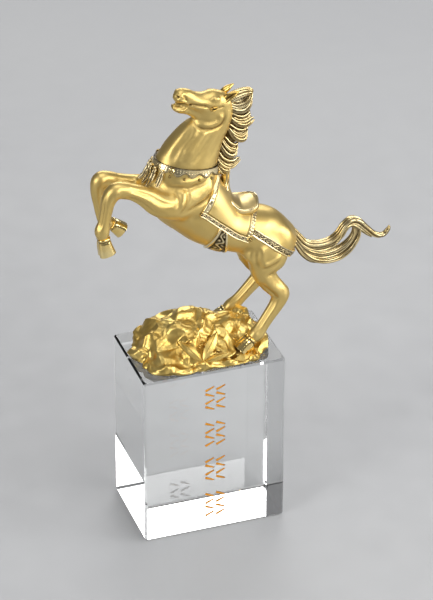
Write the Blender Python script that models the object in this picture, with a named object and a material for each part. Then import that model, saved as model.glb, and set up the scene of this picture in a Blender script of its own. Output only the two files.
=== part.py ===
"""A gilt rearing horse cast on a rock, standing on a clear crystal block.

Metres, +Z up. The origin is the centre of the block's underside, the block's engraved face looks
along -Y and the horse rears towards -X. The figure is drawn in its own units, 156 of them from the
foot of the rock to the ear tips, measured from the centre of the block's top.
"""

import math

import bmesh
import bpy
from mathutils import Matrix, Vector, noise
from mathutils.bvhtree import BVHTree

# Driving dimensions
FIGURE_HEIGHT = 0.156
BLOCK_HEIGHT = 0.102
BLOCK_CHAMFER = 0.001
SIDE_MARGIN = 0.003
FRONT_MARGIN = 0.003
SEAT_GAP = 0.0003
TACK_THICKNESS = 0.0011
ENGRAVING_DEPTH = 0.0004

# The figure's own units
UNITS_HIGH = 156
UNIT = FIGURE_HEIGHT / UNITS_HIGH
ROCK_HALF_LENGTH = 37 * UNIT
ROCK_HALF_WIDTH = 24 * UNIT

# The block follows the rock's foot
BLOCK_WIDTH = 2 * (ROCK_HALF_LENGTH + SIDE_MARGIN)
BLOCK_DEPTH = 2 * (ROCK_HALF_WIDTH + FRONT_MARGIN)

# Mesh fineness
FLESH_VOXEL = 1.0 * UNIT
SKIN_VOXEL = 0.8 * UNIT
CAST_VOXEL = 0.7 * UNIT
FLESH_SMOOTH_STEPS = 16
SKIN_SMOOTH_STEPS = 3
CAST_SMOOTH_STEPS = 1
CAST_TRIANGLES = 8800
RING_SIDES = 16
STEPS_PER_SPAN = 4

# Masses of the body as rings along a spine: x, z, half height and half width
TRUNK = [
    (-26, 106.5, 7.5, 8),
    (-20, 102.5, 14, 12),
    (-12, 97, 17.5, 14),
    (-3.4, 90, 18, 15.2),
    (4.8, 80.3, 16.2, 15.8),
    (13.2, 73.5, 13.4, 16),
    (24.8, 69.2, 13.8, 15.6),
    (34.5, 64.5, 15, 15.2),
    (42.3, 60, 13, 13.8),
    (50, 56, 9.4, 9.8),
]
NECK = [
    (-9, 103, 19.5, 13.5),
    (-7.2, 113, 17.8, 12),
    (-3, 122, 15.2, 10.2),
    (2, 129.5, 12.8, 8.6),
    (7, 134.7, 10, 7.6),
    (11.3, 140.8, 7.6, 6.6),
    (13.5, 146.3, 5.2, 5.2),
]
HEAD = [
    (16, 146, 4.5, 4.6),
    (11.5, 146.2, 7, 5.8),
    (6.5, 146.6, 8, 6.5),
    (1, 147.9, 6.4, 5.6),
    (-4, 150.6, 4.8, 4.4),
    (-8, 153, 4.6, 3.9),
    (-11.3, 153.6, 4.3, 4),
    (-13.2, 153.6, 2.8, 3),
]
JAW = [
    (3, 141, 6, 5),
    (-3, 143.9, 3.4, 3.7),
    (-7, 145.5, 2.5, 3),
    (-10.5, 146.6, 2.5, 3.1),
    (-13, 147.8, 2, 2.5),
    (-14.2, 149.2, 1.2, 1.8),
]

# Legs as rings along the bone: x, y, z, half depth and half width
NEAR_FORELEG = [
    (-9, -8.5, 98, 12, 7.5),
    (-18, -12, 96.7, 8.4, 6.6),
    (-26.7, -12, 99.4, 7, 5.8),
    (-34.2, -11.5, 105.4, 5.5, 4.8),
    (-42.2, -11, 109.5, 4.4, 4),
    (-48.6, -10.5, 110.4, 4.7, 4.3),
    (-52.6, -10.5, 106.2, 4.1, 4),
    (-54.3, -10.7, 99.5, 3.4, 3.2),
    (-55.7, -10.9, 93, 3.4, 3.2),
    (-56.8, -11, 88.3, 4.1, 3.8),
    (-56.4, -11, 84, 3.1, 3.2),
]
FAR_FORELEG = [
    (-9, 8.5, 98, 12, 7.5),
    (-18, 12, 95.5, 8.4, 6.6),
    (-26.5, 12, 97.6, 6.8, 5.6),
    (-35, 11.5, 101, 5.1, 4.7),
    (-43.2, 11, 104.5, 4.3, 4),
    (-50.3, 10.8, 106, 4.8, 4.3),
    (-52.2, 10.8, 100.5, 4, 3.8),
    (-51.4, 11, 92, 3.4, 3.2),
    (-50, 11, 85, 3.4, 3.2),
    (-48, 11, 80.6, 4, 3.7),
    (-45, 11, 78.6, 3.1, 3.1),
]
NEAR_HIND_LEG = [
    (40, -7, 62, 12, 8),
    (34.5, -10, 59.5, 13.6, 8),
    (34, -11, 54.1, 11.8, 7.6),
    (32.4, -11.5, 49.4, 8.6, 6.8),
    (32.5, -12, 45.7, 6.5, 5.7),
    (36.1, -12.5, 40.1, 5.4, 4.8),
    (40, -13, 35.4, 5, 4.4),
    (41.5, -13, 31.9, 5.2, 4.2),
    (39.5, -13.4, 26.9, 4.3, 3.7),
    (34.1, -14, 19.5, 3.7, 3.3),
    (30.4, -14.5, 14.4, 3.7, 3.3),
    (27.3, -15, 10.7, 4.3, 3.9),
    (24.1, -15.5, 9, 3.4, 3.3),
]
FAR_HIND_LEG = [
    (40, 7, 62, 12, 8),
    (34.5, 10, 59.5, 13.6, 8),
    (34, 11, 54.1, 11.8, 7.6),
    (32.6, 11.5, 49.4, 8.8, 6.8),
    (32.5, 12, 45.5, 6.5, 5.7),
    (35.5, 12, 40, 5.4, 4.8),
    (39, 12, 35.5, 5, 4.4),
    (40.2, 12, 32.4, 5.1, 4.2),
    (37, 12, 28.3, 4.3, 3.7),
    (30.8, 12, 21.8, 3.8, 3.3),
    (26.5, 12, 17.4, 3.8, 3.3),
    (22.5, 12, 13.8, 4.2, 3.8),
    (19.5, 12, 11.6, 3.3, 3.3),
]

LEGS = (NEAR_FORELEG, FAR_FORELEG, NEAR_HIND_LEG, FAR_HIND_LEG)

# Where the bone of each leg leaves the flesh, as a place along its list of rings
BARE_FROM = 4

# Hooves: coronet to sole
HOOVES = [
    [(-56.3, -11, 84.4, 3.2, 3.4), (-55.6, -11, 79.5, 4, 4), (-54.4, -11, 74.6, 4.7, 4.5)],
    [(-45.4, 11, 78.8, 3.2, 3.4), (-42.5, 11, 76.6, 3.9, 4), (-39.6, 11, 73.9, 4.5, 4.4)],
    [(24.4, -15.5, 9.2, 3.4, 3.6), (21.2, -15.9, 6.3, 4.2, 4.2), (18.2, -16.2, 3.2, 4.9, 4.7)],
    [(19.9, 12, 11.8, 3.4, 3.6), (16.8, 12, 9.2, 4.2, 4.2), (13.8, 12, 6.4, 4.9, 4.7)],
]

# Muscles and bony points: centre, half sizes along x, y and z, and tilt about y in degrees
SWELLINGS = [
    ((5.5, 0, 142.3), (7.2, 6.5, 6.6), 0),
    ((-6, 8.5, 98), (8.5, 6.2, 15), 35),
    ((-6, -8.5, 98), (8.5, 6.2, 15), 35),
    ((-25, 5, 103), (7, 6.5, 8.5), 20),
    ((-25, -5, 103), (7, 6.5, 8.5), 20),
    ((40, 6.5, 64), (13, 8.5, 10), 40),
    ((40, -6.5, 64), (13, 8.5, 10), 40),
]
FACE = [
    ((5.5, 0, 142.3), (7.2, 6.3, 6.6), 0),
    ((7.6, 4.4, 151.2), (2.8, 1.8, 1.7), 10),
    ((7.6, -4.4, 151.2), (2.8, 1.8, 1.7), 10),
    ((5.8, 5.2, 147), (1.8, 1.4, 1.6), 0),
    ((5.8, -5.2, 147), (1.8, 1.4, 1.6), 0),
    ((-11, 2.6, 154.6), (2.2, 1.8, 2.2), 30),
    ((-11, -2.6, 154.6), (2.2, 1.8, 2.2), 30),
]
EAR = [
    (12.5, 3.2, 148.5, 1.6, 1.9),
    (15, 3.8, 150.8, 2, 2.2),
    (17.8, 4.2, 152.3, 1.5, 1.7),
    (20.3, 4.4, 153.5, 0.4, 0.4),
]

# The mane's root line down the crest, and the line of its tips
CREST = [
    (12.5, 151),
    (16.6, 146),
    (17.3, 139.5),
    (16, 132),
    (13.4, 124),
    (10.8, 117),
    (10.4, 112.5),
    (11, 110),
]
MANE_TIPS = [
    (29, 150),
    (30, 144.5),
    (29, 139.5),
    (31, 133),
    (27.5, 128.5),
    (26.5, 124),
    (22.5, 120),
    (21.5, 116),
    (20.5, 112.5),
    (23, 110),
    (18.5, 107.5),
]
MANE_DROOP = 4

# The tail's uppermost and lowermost strands
TAIL_TOP = [
    (49, 60.5),
    (56, 56),
    (64, 52.3),
    (73, 52.3),
    (80, 56.5),
    (86, 62.4),
    (93, 59.5),
    (101, 51.4),
    (106, 50.4),
    (108.5, 54.5),
]
TAIL_FOOT = [
    (48, 56),
    (54.5, 49.5),
    (62, 43.3),
    (72, 40),
    (81, 41.6),
    (88, 48),
    (91, 55.5),
    (92.5, 57),
    (95.5, 53.5),
    (98.5, 49.5),
]
TAIL_STRANDS = 7

# Saddle from pommel to cantle: x and z of its middle, half width, x and z of its rims, and depth
SADDLE = [
    (17, 107.5, 1.5, 16.4, 107, 2.6),
    (17, 101.5, 2.2, 15.6, 100.5, 3),
    (17, 96, 4.6, 14, 95.4, 3.4),
    (18.8, 91, 8.4, 15.6, 90, 3.5),
    (22.2, 87.6, 9.6, 19.4, 86, 4),
    (26.4, 86.6, 9.6, 24.6, 85, 3.4),
    (29.2, 87.6, 8.4, 28.4, 86.2, 2),
    (30.4, 90, 6.2, 30, 89, 1.2),
]

# Tack, as places along the trunk's rings and angles from the spine in degrees
BLANKET_FRONT = (3.3, 2.95)
BLANKET_REAR = (6.1, 5.8)
BLANKET_REACH = 95
GIRTH_FRONT = (4.05, 4.75)
GIRTH_REAR = (4.6, 5.3)
COLLAR_CENTRE = (-8.5, 0, 115.3)
COLLAR_UP = (0.248, 0, 0.968)
COLLAR_DEPTH = 5
BREAST_DEPTH = 8
PLUME_ANGLES = (-44, -22, 0, 22, 44)
PLUME_LENGTH = 9
BREECHING_CENTRE = (30, 0, 70)
BREECHING_BACK = (0.77, 0, -0.638)
BREECHING_HALF_DEPTH = 1.7

# Rock: heights of its ridge from end to end, and hollows as x, y, depth and spreads
ROCK_CENTRE = (-0.5, -1)
ROCK_RIDGE = [2, 12.5, 17, 19.5, 18, 15, 14.5, 12, 3]
ROCK_RIDGE_Y = 5
ROCK_HOLLOWS = [
    (20, -17, 6, 8, 8),
    (16.5, 13, 6, 7, 6),
    (-33, -16, 3, 8, 8),
]
ROCK_FOOT = 3
ROCK_SINK = 3
ROCK_SQUARENESS = 3.2
CRAG_SIZE = 8
CRAG_HEIGHT = 3
LEAVES = [
    [(-7.5, -22.3, 5.5, 0.8, 1), (-11.5, -20, 9.8, 1.6, 3), (-17.5, -15, 15.5, 0.6, 0.6)],
    [(-6.5, -22.3, 5.5, 0.8, 1), (-0.5, -20, 9.8, 1.6, 3), (6, -15, 15, 0.6, 0.6)],
]

# Inscription: rows of slanting strokes in four places down the front of the block
PLACES = 4
PLACE_PITCH = 0.023
FIRST_PLACE = 0.0165
ROWS_IN_PLACE = 4
ROW_PITCH = 0.0041
STROKE_LENGTH = 0.0056
STROKE_SPACING = 0.0062
STROKE_HEAD = 0.0015
STROKE_TAIL = 0.0008
STROKE_SLANT = 24

# Finishes: colour, roughness, metallic and transmission
GILT = ((0.83, 0.56, 0.17), 0.3, 1, 0)
CRYSTAL = ((0.93, 0.96, 0.97), 0.02, 0, 1)


def catmull(before, start, end, after, share):
    """One number on the smooth curve through start and end."""
    slope_in = (end - before) / 2
    slope_out = (after - start) / 2
    square = share * share
    cube = square * share
    return (
        (2 * cube - 3 * square + 1) * start
        + (cube - 2 * square + share) * slope_in
        + (3 * square - 2 * cube) * end
        + (cube - square) * slope_out
    )


def at(rows, place):
    """The row of numbers at a fractional place along a list of rows."""
    last = len(rows) - 1
    span = min(int(place), last - 1)
    share = place - span
    near = [rows[max(0, min(last, span + step))] for step in (-1, 0, 1, 2)]
    return [catmull(*numbers, share) for numbers in zip(*near)]


def smoothed(rows, steps=STEPS_PER_SPAN):
    count = (len(rows) - 1) * steps
    return [at(rows, index / steps) for index in range(count + 1)]


def in_plane(rows):
    """Rings drawn on the median plane, given their place across it."""
    return [(x, 0, z, half_height, half_width) for x, z, half_height, half_width in rows]


def add_loft(mesh, rows, flat_end=False, sides=RING_SIDES, steps=STEPS_PER_SPAN):
    """A closed tube through rings of the given half sizes, rounded where it isn't cut flat."""
    rings = smoothed(rows, steps)
    centres = [Vector(ring[:3]) * UNIT for ring in rings]
    tangents = []
    loops = []
    for index, ring in enumerate(rings):
        ahead = centres[min(index + 1, len(centres) - 1)]
        behind = centres[max(index - 1, 0)]
        tangent = (ahead - behind).normalized()
        side = (Vector((0, 1, 0)) - tangent * tangent.y).normalized()
        normal = tangent.cross(side)
        tangents.append(tangent)
        half_height, half_width = (max(0.05, size) * UNIT for size in ring[3:5])
        loop = []
        for corner in range(sides):
            angle = 2 * math.pi * corner / sides
            offset = normal * math.cos(angle) * half_height + side * math.sin(angle) * half_width
            loop.append(mesh.verts.new(centres[index] + offset))
        loops.append(loop)
    for first, second in zip(loops, loops[1:]):
        for corner in range(sides):
            following = (corner + 1) % sides
            mesh.faces.new((first[corner], first[following], second[following], second[corner]))
    bulge = 0.45
    start = mesh.verts.new(centres[0] - tangents[0] * rings[0][3] * UNIT * bulge)
    for corner in range(sides):
        mesh.faces.new((loops[0][(corner + 1) % sides], loops[0][corner], start))
    if flat_end:
        mesh.faces.new(loops[-1])
        return
    end = mesh.verts.new(centres[-1] + tangents[-1] * rings[-1][3] * UNIT * bulge)
    for corner in range(sides):
        mesh.faces.new((loops[-1][corner], loops[-1][(corner + 1) % sides], end))


def add_swelling(mesh, centre, half_sizes, tilt):
    """An ellipsoid, turned about the cross axis."""
    place = Matrix.Translation(Vector(centre) * UNIT)
    turn = Matrix.Rotation(math.radians(tilt), 4, "Y")
    stretch = Matrix.Diagonal((*(size * UNIT for size in half_sizes), 1))
    bmesh.ops.create_icosphere(mesh, subdivisions=3, radius=1, matrix=place @ turn @ stretch)


def add_shell(mesh, outer, inner, closed=False):
    """A closed plate between two grids of points of the same shape. A closed one joins on itself."""
    faces = [[mesh.verts.new(point) for point in row] for row in outer]
    backs = [[mesh.verts.new(point) for point in row] for row in inner]
    rows, columns = len(faces), len(faces[0])
    last_row = rows if closed else rows - 1
    for row in range(last_row):
        below = (row + 1) % rows
        for column in range(columns - 1):
            a, b = faces[row][column], faces[row][column + 1]
            c, d = faces[below][column + 1], faces[below][column]
            mesh.faces.new((a, b, c, d))
            a, b = backs[row][column], backs[row][column + 1]
            c, d = backs[below][column + 1], backs[below][column]
            mesh.faces.new((d, c, b, a))
        for column, flip in ((0, False), (columns - 1, True)):
            corners = [faces[row][column], faces[below][column], backs[below][column], backs[row][column]]
            mesh.faces.new(corners[::-1] if flip else corners)
    if closed:
        return
    for row, flip in ((0, True), (rows - 1, False)):
        for column in range(columns - 1):
            corners = [faces[row][column], faces[row][column + 1], backs[row][column + 1], backs[row][column]]
            mesh.faces.new(corners[::-1] if flip else corners)


def mesh_of(name, build):
    """A new mesh filled by a function that adds to a bmesh."""
    shape = bmesh.new()
    build(shape)
    bmesh.ops.recalc_face_normals(shape, faces=shape.faces)
    mesh = bpy.data.meshes.new(name)
    shape.to_mesh(mesh)
    shape.free()
    return mesh


def evaluated(obj):
    graph = bpy.context.evaluated_depsgraph_get()
    graph.update()
    return bpy.data.meshes.new_from_object(obj.evaluated_get(graph))


def add_fusing(obj, voxel, rounds):
    """Voxel remesh and smoothing, which run overlapping shells into one skin."""
    remesh = obj.modifiers.new("one skin", "REMESH")
    remesh.mode = "VOXEL"
    remesh.voxel_size = voxel
    smooth = obj.modifiers.new("soft joins", "SMOOTH")
    smooth.factor = 0.5
    smooth.iterations = rounds


def fused(name, mesh, voxel, rounds):
    obj = bpy.data.objects.new(name, mesh)
    bpy.context.scene.collection.objects.link(obj)
    add_fusing(obj, voxel, rounds)
    skin = evaluated(obj)
    bpy.data.objects.remove(obj)
    return skin


def add_flesh(mesh):
    """Everything that runs softly together."""
    for rows in (TRUNK, NECK, HEAD):
        add_loft(mesh, in_plane(rows), sides=24)
    for rows in LEGS:
        add_loft(mesh, rows)
    for centre, half_sizes, tilt in SWELLINGS:
        add_swelling(mesh, centre, half_sizes, tilt)


def add_bone(mesh):
    """The leaner head and lower legs, which keep their edges."""
    for rows in (HEAD, JAW):
        add_loft(mesh, in_plane(rows), sides=24)
    for rows in LEGS:
        add_loft(mesh, rows[BARE_FROM:])
    for centre, half_sizes, tilt in FACE:
        add_swelling(mesh, centre, half_sizes, tilt)


def add_ears(mesh):
    for side in (-1, 1):
        add_loft(mesh, [(x, side * y, z, depth, width) for x, y, z, depth, width in EAR])


def add_hooves(mesh):
    for rows in HOOVES:
        add_loft(mesh, rows, flat_end=True)


def mane_lock(index, side):
    """A lock that leaves the crest, droops and flicks up at its tip."""
    place = index / (len(MANE_TIPS) - 1) * (len(CREST) - 1)
    root, tip = Vector(at(CREST, place)), Vector(MANE_TIPS[index])
    rows = []
    for along, fall, spread, size in (
        (-0.1, 0, 0.2, 1.2),
        (0.2, 0.7, 1, 1.7),
        (0.55, 1, 0.9, 1.8),
        (0.85, 0.7, 0.5, 1.3),
        (1, 0.1, 0.1, 0.4),
    ):
        x, z = root + (tip - root) * along
        rows.append((x, side * 2.6 * spread, z - MANE_DROOP * fall, size, 0.8 * size))
    return rows


def add_mane(mesh):
    spine = [(x + 2.5, z - 1.5, 3.6, 2.4) for x, z in CREST[1:-1]]
    add_loft(mesh, in_plane(spine), sides=12)
    for index in range(len(MANE_TIPS)):
        for side in (-1, 1):
            add_loft(mesh, mane_lock(index, side), sides=8, steps=3)


def tail_strand(share):
    """A strand between the tail's uppermost and lowermost lines."""
    rows = []
    last = len(TAIL_TOP) - 1
    for index, (top, foot) in enumerate(zip(TAIL_TOP, TAIL_FOOT)):
        along = index / last
        x, z = (a + (b - a) * share for a, b in zip(top, foot))
        sway = 2.6 * math.sin(math.pi * along) * math.cos(2.4 * math.pi * share)
        size = 0.5 + 1.9 * math.sin(math.pi * min(1, 0.12 + along)) ** 0.7
        rows.append((x, sway, z, size, 1.1 * size))
    return rows


def add_tail(mesh):
    for index in range(TAIL_STRANDS):
        add_loft(mesh, tail_strand(index / (TAIL_STRANDS - 1)), sides=10, steps=3)


def add_saddle(mesh):
    rows = smoothed(SADDLE)
    outer, inner = [], []
    for index, (x, z, half_width, rim_x, rim_z, depth) in enumerate(rows):
        ahead, behind = rows[min(index + 1, len(rows) - 1)], rows[max(index - 1, 0)]
        along = Vector((ahead[0] - behind[0], 0, ahead[1] - behind[1])).normalized()
        up = Vector((-along.z, 0, along.x))
        top = []
        for column in range(-6, 7):
            across = column / 6
            share = across * across
            place = (x + (rim_x - x) * share, across * half_width, z + (rim_z - z) * share)
            top.append(Vector(place) * UNIT)
        outer.append(top)
        inner.append([place - up * depth * UNIT for place in top])
    add_shell(mesh, outer, inner)


def wrapped(tree, centre, direction):
    """The skin's outermost point on a ray from a centre, with the skin's normal there."""
    reach = 60 * UNIT
    point, normal, _, _ = tree.ray_cast(centre + direction * reach, -direction, reach)
    return (centre, direction) if point is None else (point, normal)


def add_wrapped(mesh, tree, rays, closed=False):
    """A plate of tack thickness lying on the skin, from a grid of rays."""
    outer, inner = [], []
    for row in rays:
        hits = [wrapped(tree, centre, direction) for centre, direction in row]
        outer.append([point + normal * TACK_THICKNESS for point, normal in hits])
        inner.append([point - normal * TACK_THICKNESS for point, normal in hits])
    add_shell(mesh, outer, inner, closed)


def trunk_ray(place, angle):
    """A ray out of the trunk's spine, at an angle in degrees from straight up."""
    x, z = at(TRUNK, place)[:2]
    ahead, behind = at(TRUNK, place + 0.1)[:2], at(TRUNK, place - 0.1)[:2]
    along = Vector((ahead[0] - behind[0], 0, ahead[1] - behind[1])).normalized()
    up = Vector((-along.z, 0, along.x))
    turn = math.radians(angle)
    return Vector((x, 0, z)) * UNIT, up * math.cos(turn) + Vector((0, math.sin(turn), 0))


def trunk_rays(front, rear, first, last, columns, rows):
    """Rays over the trunk between two edges that shift evenly from one angle to the other."""
    grid = []
    for row in range(rows + 1):
        angle = first + (last - first) * row / rows
        middle = (first + last) / 2
        share = abs(angle - middle) / ((last - first) / 2)
        start = front[0] + (front[1] - front[0]) * share
        end = rear[0] + (rear[1] - rear[0]) * share
        grid.append([trunk_ray(start + (end - start) * column / columns, angle) for column in range(columns + 1)])
    return grid


def ring_rays(centre, back, up, edges, first, last, rows):
    """Rays in a plane round a centre, between two edges above and below it."""
    grid = []
    across = Vector(up).cross(Vector(back)).normalized()
    for row in range(rows + 1):
        angle = math.radians(first + (last - first) * row / rows)
        direction = Vector(back) * math.cos(angle) + across * math.sin(angle)
        high, low = edges(angle)
        grid.append(
            [
                (Vector(centre) * UNIT + Vector(up) * (high + (low - high) * column / 4) * UNIT, direction)
                for column in range(5)
            ]
        )
    return grid


def collar_edges(angle):
    breast = max(0, math.cos(angle)) ** 6
    return 0, -(COLLAR_DEPTH + BREAST_DEPTH * breast)


def breeching_edges(angle):
    return BREECHING_HALF_DEPTH, -BREECHING_HALF_DEPTH


def add_plume(mesh, tree, angle):
    """A fluted leaf that hangs down the breast from the collar."""
    forward, up = Vector((-COLLAR_UP[2], 0, COLLAR_UP[0])), Vector(COLLAR_UP)
    turn = math.radians(angle)
    direction = forward * math.cos(turn) + Vector((0, math.sin(turn), 0))
    rows = []
    for share, size in ((-0.05, 0.8), (0.25, 1.5), (0.6, 1.8), (0.85, 1.3), (1, 0.4)):
        centre = Vector(COLLAR_CENTRE) - up * PLUME_LENGTH * share
        point, normal = wrapped(tree, centre * UNIT, direction)
        rows.append((*(point / UNIT + normal * 1.2), size, size))
    add_loft(mesh, rows, sides=8, steps=2)


def add_tack(mesh, skin):
    tree = BVHTree.FromPolygons(
        [vertex.co for vertex in skin.vertices],
        [face.vertices for face in skin.polygons],
    )
    reach = BLANKET_REACH
    add_wrapped(mesh, tree, trunk_rays(BLANKET_FRONT, BLANKET_REAR, -reach, reach, 16, 40))
    add_wrapped(mesh, tree, trunk_rays(GIRTH_REAR[::-1], GIRTH_FRONT[::-1], reach, 360 - reach, 5, 30))
    forward = (-COLLAR_UP[2], 0, COLLAR_UP[0])
    collar = ring_rays(COLLAR_CENTRE, forward, COLLAR_UP, collar_edges, 0, 360, 60)[:-1]
    add_wrapped(mesh, tree, collar, closed=True)
    for angle in PLUME_ANGLES:
        add_plume(mesh, tree, angle)
    up = (-BREECHING_BACK[2], 0, BREECHING_BACK[0])
    breeching = ring_rays(BREECHING_CENTRE, BREECHING_BACK, up, breeching_edges, -115, 115, 40)
    add_wrapped(mesh, tree, breeching)
    add_saddle(mesh)


def rock_height(x, y):
    """The rock's top before its crags."""
    place = (x - ROCK_CENTRE[0]) * UNIT / ROCK_HALF_LENGTH
    ridge = at([[height] for height in ROCK_RIDGE], (place + 1) / 2 * (len(ROCK_RIDGE) - 1))[0]
    middle = ROCK_RIDGE_Y - ROCK_CENTRE[1]
    span = ROCK_HALF_WIDTH / UNIT
    across = y - ROCK_RIDGE_Y
    away = -across / (span + middle) if across < 0 else across / (span - middle)
    height = ROCK_FOOT + ridge * (1 - min(1, away) ** 1.6)
    for hollow_x, hollow_y, depth, spread_x, spread_y in ROCK_HOLLOWS:
        height -= depth * math.exp(-(((x - hollow_x) / spread_x) ** 2) - ((y - hollow_y) / spread_y) ** 2)
    return max(ROCK_FOOT, height)


def crag(place, size):
    """Creased facets, each leaning its own way."""
    heights = []
    for point in noise.voronoi(place / size)[1]:
        lean = noise.cell_vector(point * 7) - Vector((0.5, 0.5, 0.5))
        away = place / size - point
        heights.append(1.4 * lean.dot(away) - 0.9 * away.length)
    return 2 * max(heights) + 0.7


def rock_rim(angle):
    """How far the rock's foot reaches from its centre along x and y at an angle."""
    across, along = math.sin(angle), math.cos(angle)
    power = ROCK_SQUARENESS
    reach = (abs(along) ** power + abs(across) ** power) ** (-1 / power)
    reach *= 0.95 + 0.1 * noise.noise(Vector((along, across, 0.3)) * 2.3)
    return reach * along * ROCK_HALF_LENGTH / UNIT, reach * across * ROCK_HALF_WIDTH / UNIT


def add_rock(mesh):
    centre_x, centre_y = ROCK_CENTRE
    rings, sides = 24, 80
    tops = []
    for ring in range(1, rings + 1):
        out = math.sin(math.pi / 2 * ring / rings)
        fade = 1 - out**4
        loop = []
        for corner in range(sides):
            rim_x, rim_y = rock_rim(2 * math.pi * corner / sides)
            x, y = centre_x + rim_x * out, centre_y + rim_y * out
            z = rock_height(x, y) * (1 - out**10) ** 0.5
            z += crag(Vector((x, y, z)), CRAG_SIZE) * CRAG_HEIGHT * fade
            loop.append(mesh.verts.new(Vector((x, y, max(0, z))) * UNIT))
        tops.append(loop)
    peak = mesh.verts.new(Vector((centre_x, centre_y, rock_height(centre_x, centre_y))) * UNIT)
    foot = [mesh.verts.new((vertex.co.x, vertex.co.y, -ROCK_SINK * UNIT)) for vertex in tops[-1]]
    for corner in range(sides):
        following = (corner + 1) % sides
        mesh.faces.new((peak, tops[0][corner], tops[0][following]))
        for first, second in zip(tops + [foot], tops[1:] + [foot]):
            if first is not second:
                mesh.faces.new((first[corner], second[corner], second[following], first[following]))
    mesh.faces.new(foot[::-1])
    for rows in LEAVES:
        add_loft(mesh, rows, sides=8)


def casting_mesh():
    """All of the casting's shells in one mesh, still overlapping."""
    flesh = fused("flesh", mesh_of("flesh", add_flesh), FLESH_VOXEL, FLESH_SMOOTH_STEPS)

    def add_all_flesh(mesh):
        mesh.from_mesh(flesh)
        add_bone(mesh)

    skin = fused("skin", mesh_of("skin", add_all_flesh), SKIN_VOXEL, SKIN_SMOOTH_STEPS)

    def add_all(mesh):
        mesh.from_mesh(skin)
        add_ears(mesh)
        add_hooves(mesh)
        add_mane(mesh)
        add_tail(mesh)
        add_tack(mesh, skin)
        add_rock(mesh)

    return mesh_of("horse_on_rock", add_all)


def finish(obj, name, colour, roughness, metallic, transmission):
    material = bpy.data.materials.new(name)
    material.use_nodes = True
    shader = material.node_tree.nodes["Principled BSDF"]
    shader.inputs["Base Color"].default_value = (*colour, 1)
    shader.inputs["Roughness"].default_value = roughness
    shader.inputs["Metallic"].default_value = metallic
    shader.inputs["Transmission Weight"].default_value = transmission
    obj.data.materials.append(material)


def linked(name, mesh, location=(0, 0, 0)):
    obj = bpy.data.objects.new(name, mesh)
    bpy.context.scene.collection.objects.link(obj)
    obj.location = location
    return obj


def box_mesh(name, size, centre):
    def build(mesh):
        place = Matrix.Translation(Vector(centre)) @ Matrix.Diagonal((*size, 1))
        bmesh.ops.create_cube(mesh, size=1, matrix=place)

    return mesh_of(name, build)


def cut(obj, cutter):
    difference = obj.modifiers.new("cut", "BOOLEAN")
    difference.operation = "DIFFERENCE"
    difference.solver = "EXACT"
    difference.object = cutter
    cutter.hide_render = True
    cutter.display_type = "WIRE"


def make_casting():
    foot = BLOCK_HEIGHT + SEAT_GAP
    casting = linked("horse_on_rock", casting_mesh(), (0, 0, foot))
    add_fusing(casting, CAST_VOXEL, CAST_SMOOTH_STEPS)
    whole = evaluated(casting)
    whole.calc_loop_triangles()
    fewer = casting.modifiers.new("fewer facets", "DECIMATE")
    fewer.ratio = CAST_TRIANGLES / len(whole.loop_triangles)
    fewer.use_collapse_triangulate = True
    depth = 0.01
    size = (2 * BLOCK_WIDTH, 2 * BLOCK_DEPTH, depth)
    below = linked("below_the_foot", box_mesh("below_the_foot", size, (0, 0, foot - depth / 2)))
    cut(casting, below)
    finish(casting, "gilt", *GILT)


def add_stroke(mesh, x, z, slant):
    """A tapered stroke that reaches into the block's front face."""
    along = Vector((math.cos(slant), 0, math.sin(slant)))
    across = Vector((-along.z, 0, along.x))
    half = along * STROKE_LENGTH / 2
    middle = Vector((x, 0, z))
    outline = [
        middle - half + across * STROKE_HEAD / 2,
        middle - half - across * STROKE_HEAD / 2,
        middle + half - across * STROKE_TAIL / 2,
        middle + half + across * STROKE_TAIL / 2,
    ]
    face = -BLOCK_DEPTH / 2
    deep, proud = face + ENGRAVING_DEPTH, face - ENGRAVING_DEPTH
    inner = [mesh.verts.new((point.x, deep, point.z)) for point in outline]
    outer = [mesh.verts.new((point.x, proud, point.z)) for point in outline]
    mesh.faces.new(inner)
    mesh.faces.new(outer[::-1])
    for corner in range(4):
        following = (corner + 1) % 4
        mesh.faces.new((inner[corner], inner[following], outer[following], outer[corner]))


def add_inscription(mesh):
    for place in range(PLACES):
        middle = BLOCK_HEIGHT - FIRST_PLACE - place * PLACE_PITCH
        for row in range(ROWS_IN_PLACE):
            z = middle + (row - (ROWS_IN_PLACE - 1) / 2) * ROW_PITCH
            for side in (-1, 1):
                slant = math.radians(STROKE_SLANT) * (1 if (place + row) % 2 else -1)
                add_stroke(mesh, side * STROKE_SPACING / 2, z, slant)


def make_block():
    size = (BLOCK_WIDTH, BLOCK_DEPTH, BLOCK_HEIGHT)
    block = linked("crystal_block", box_mesh("crystal_block", size, (0, 0, BLOCK_HEIGHT / 2)))
    chamfer = block.modifiers.new("chamfer", "BEVEL")
    chamfer.width = BLOCK_CHAMFER
    chamfer.segments = 1
    cut(block, linked("inscription", mesh_of("inscription", add_inscription)))
    finish(block, "crystal", *CRYSTAL)


def main():
    for obj in list(bpy.data.objects):
        bpy.data.objects.remove(obj)
    make_block()
    make_casting()


main()
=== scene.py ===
"""The looks of a gilt rearing horse on a crystal block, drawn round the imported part.

The figure is drawn in its own units, 156 of them from the foot of its rock to its ear tips, measured
from the centre of the block's top. The horse faces -x and its near side is -y. Rings hold a place and
half sizes in those units.
"""

import math

import bmesh
import bpy
import numpy as np
from mathutils import Matrix, Vector, noise
from mathutils.bvhtree import BVHTree

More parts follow.
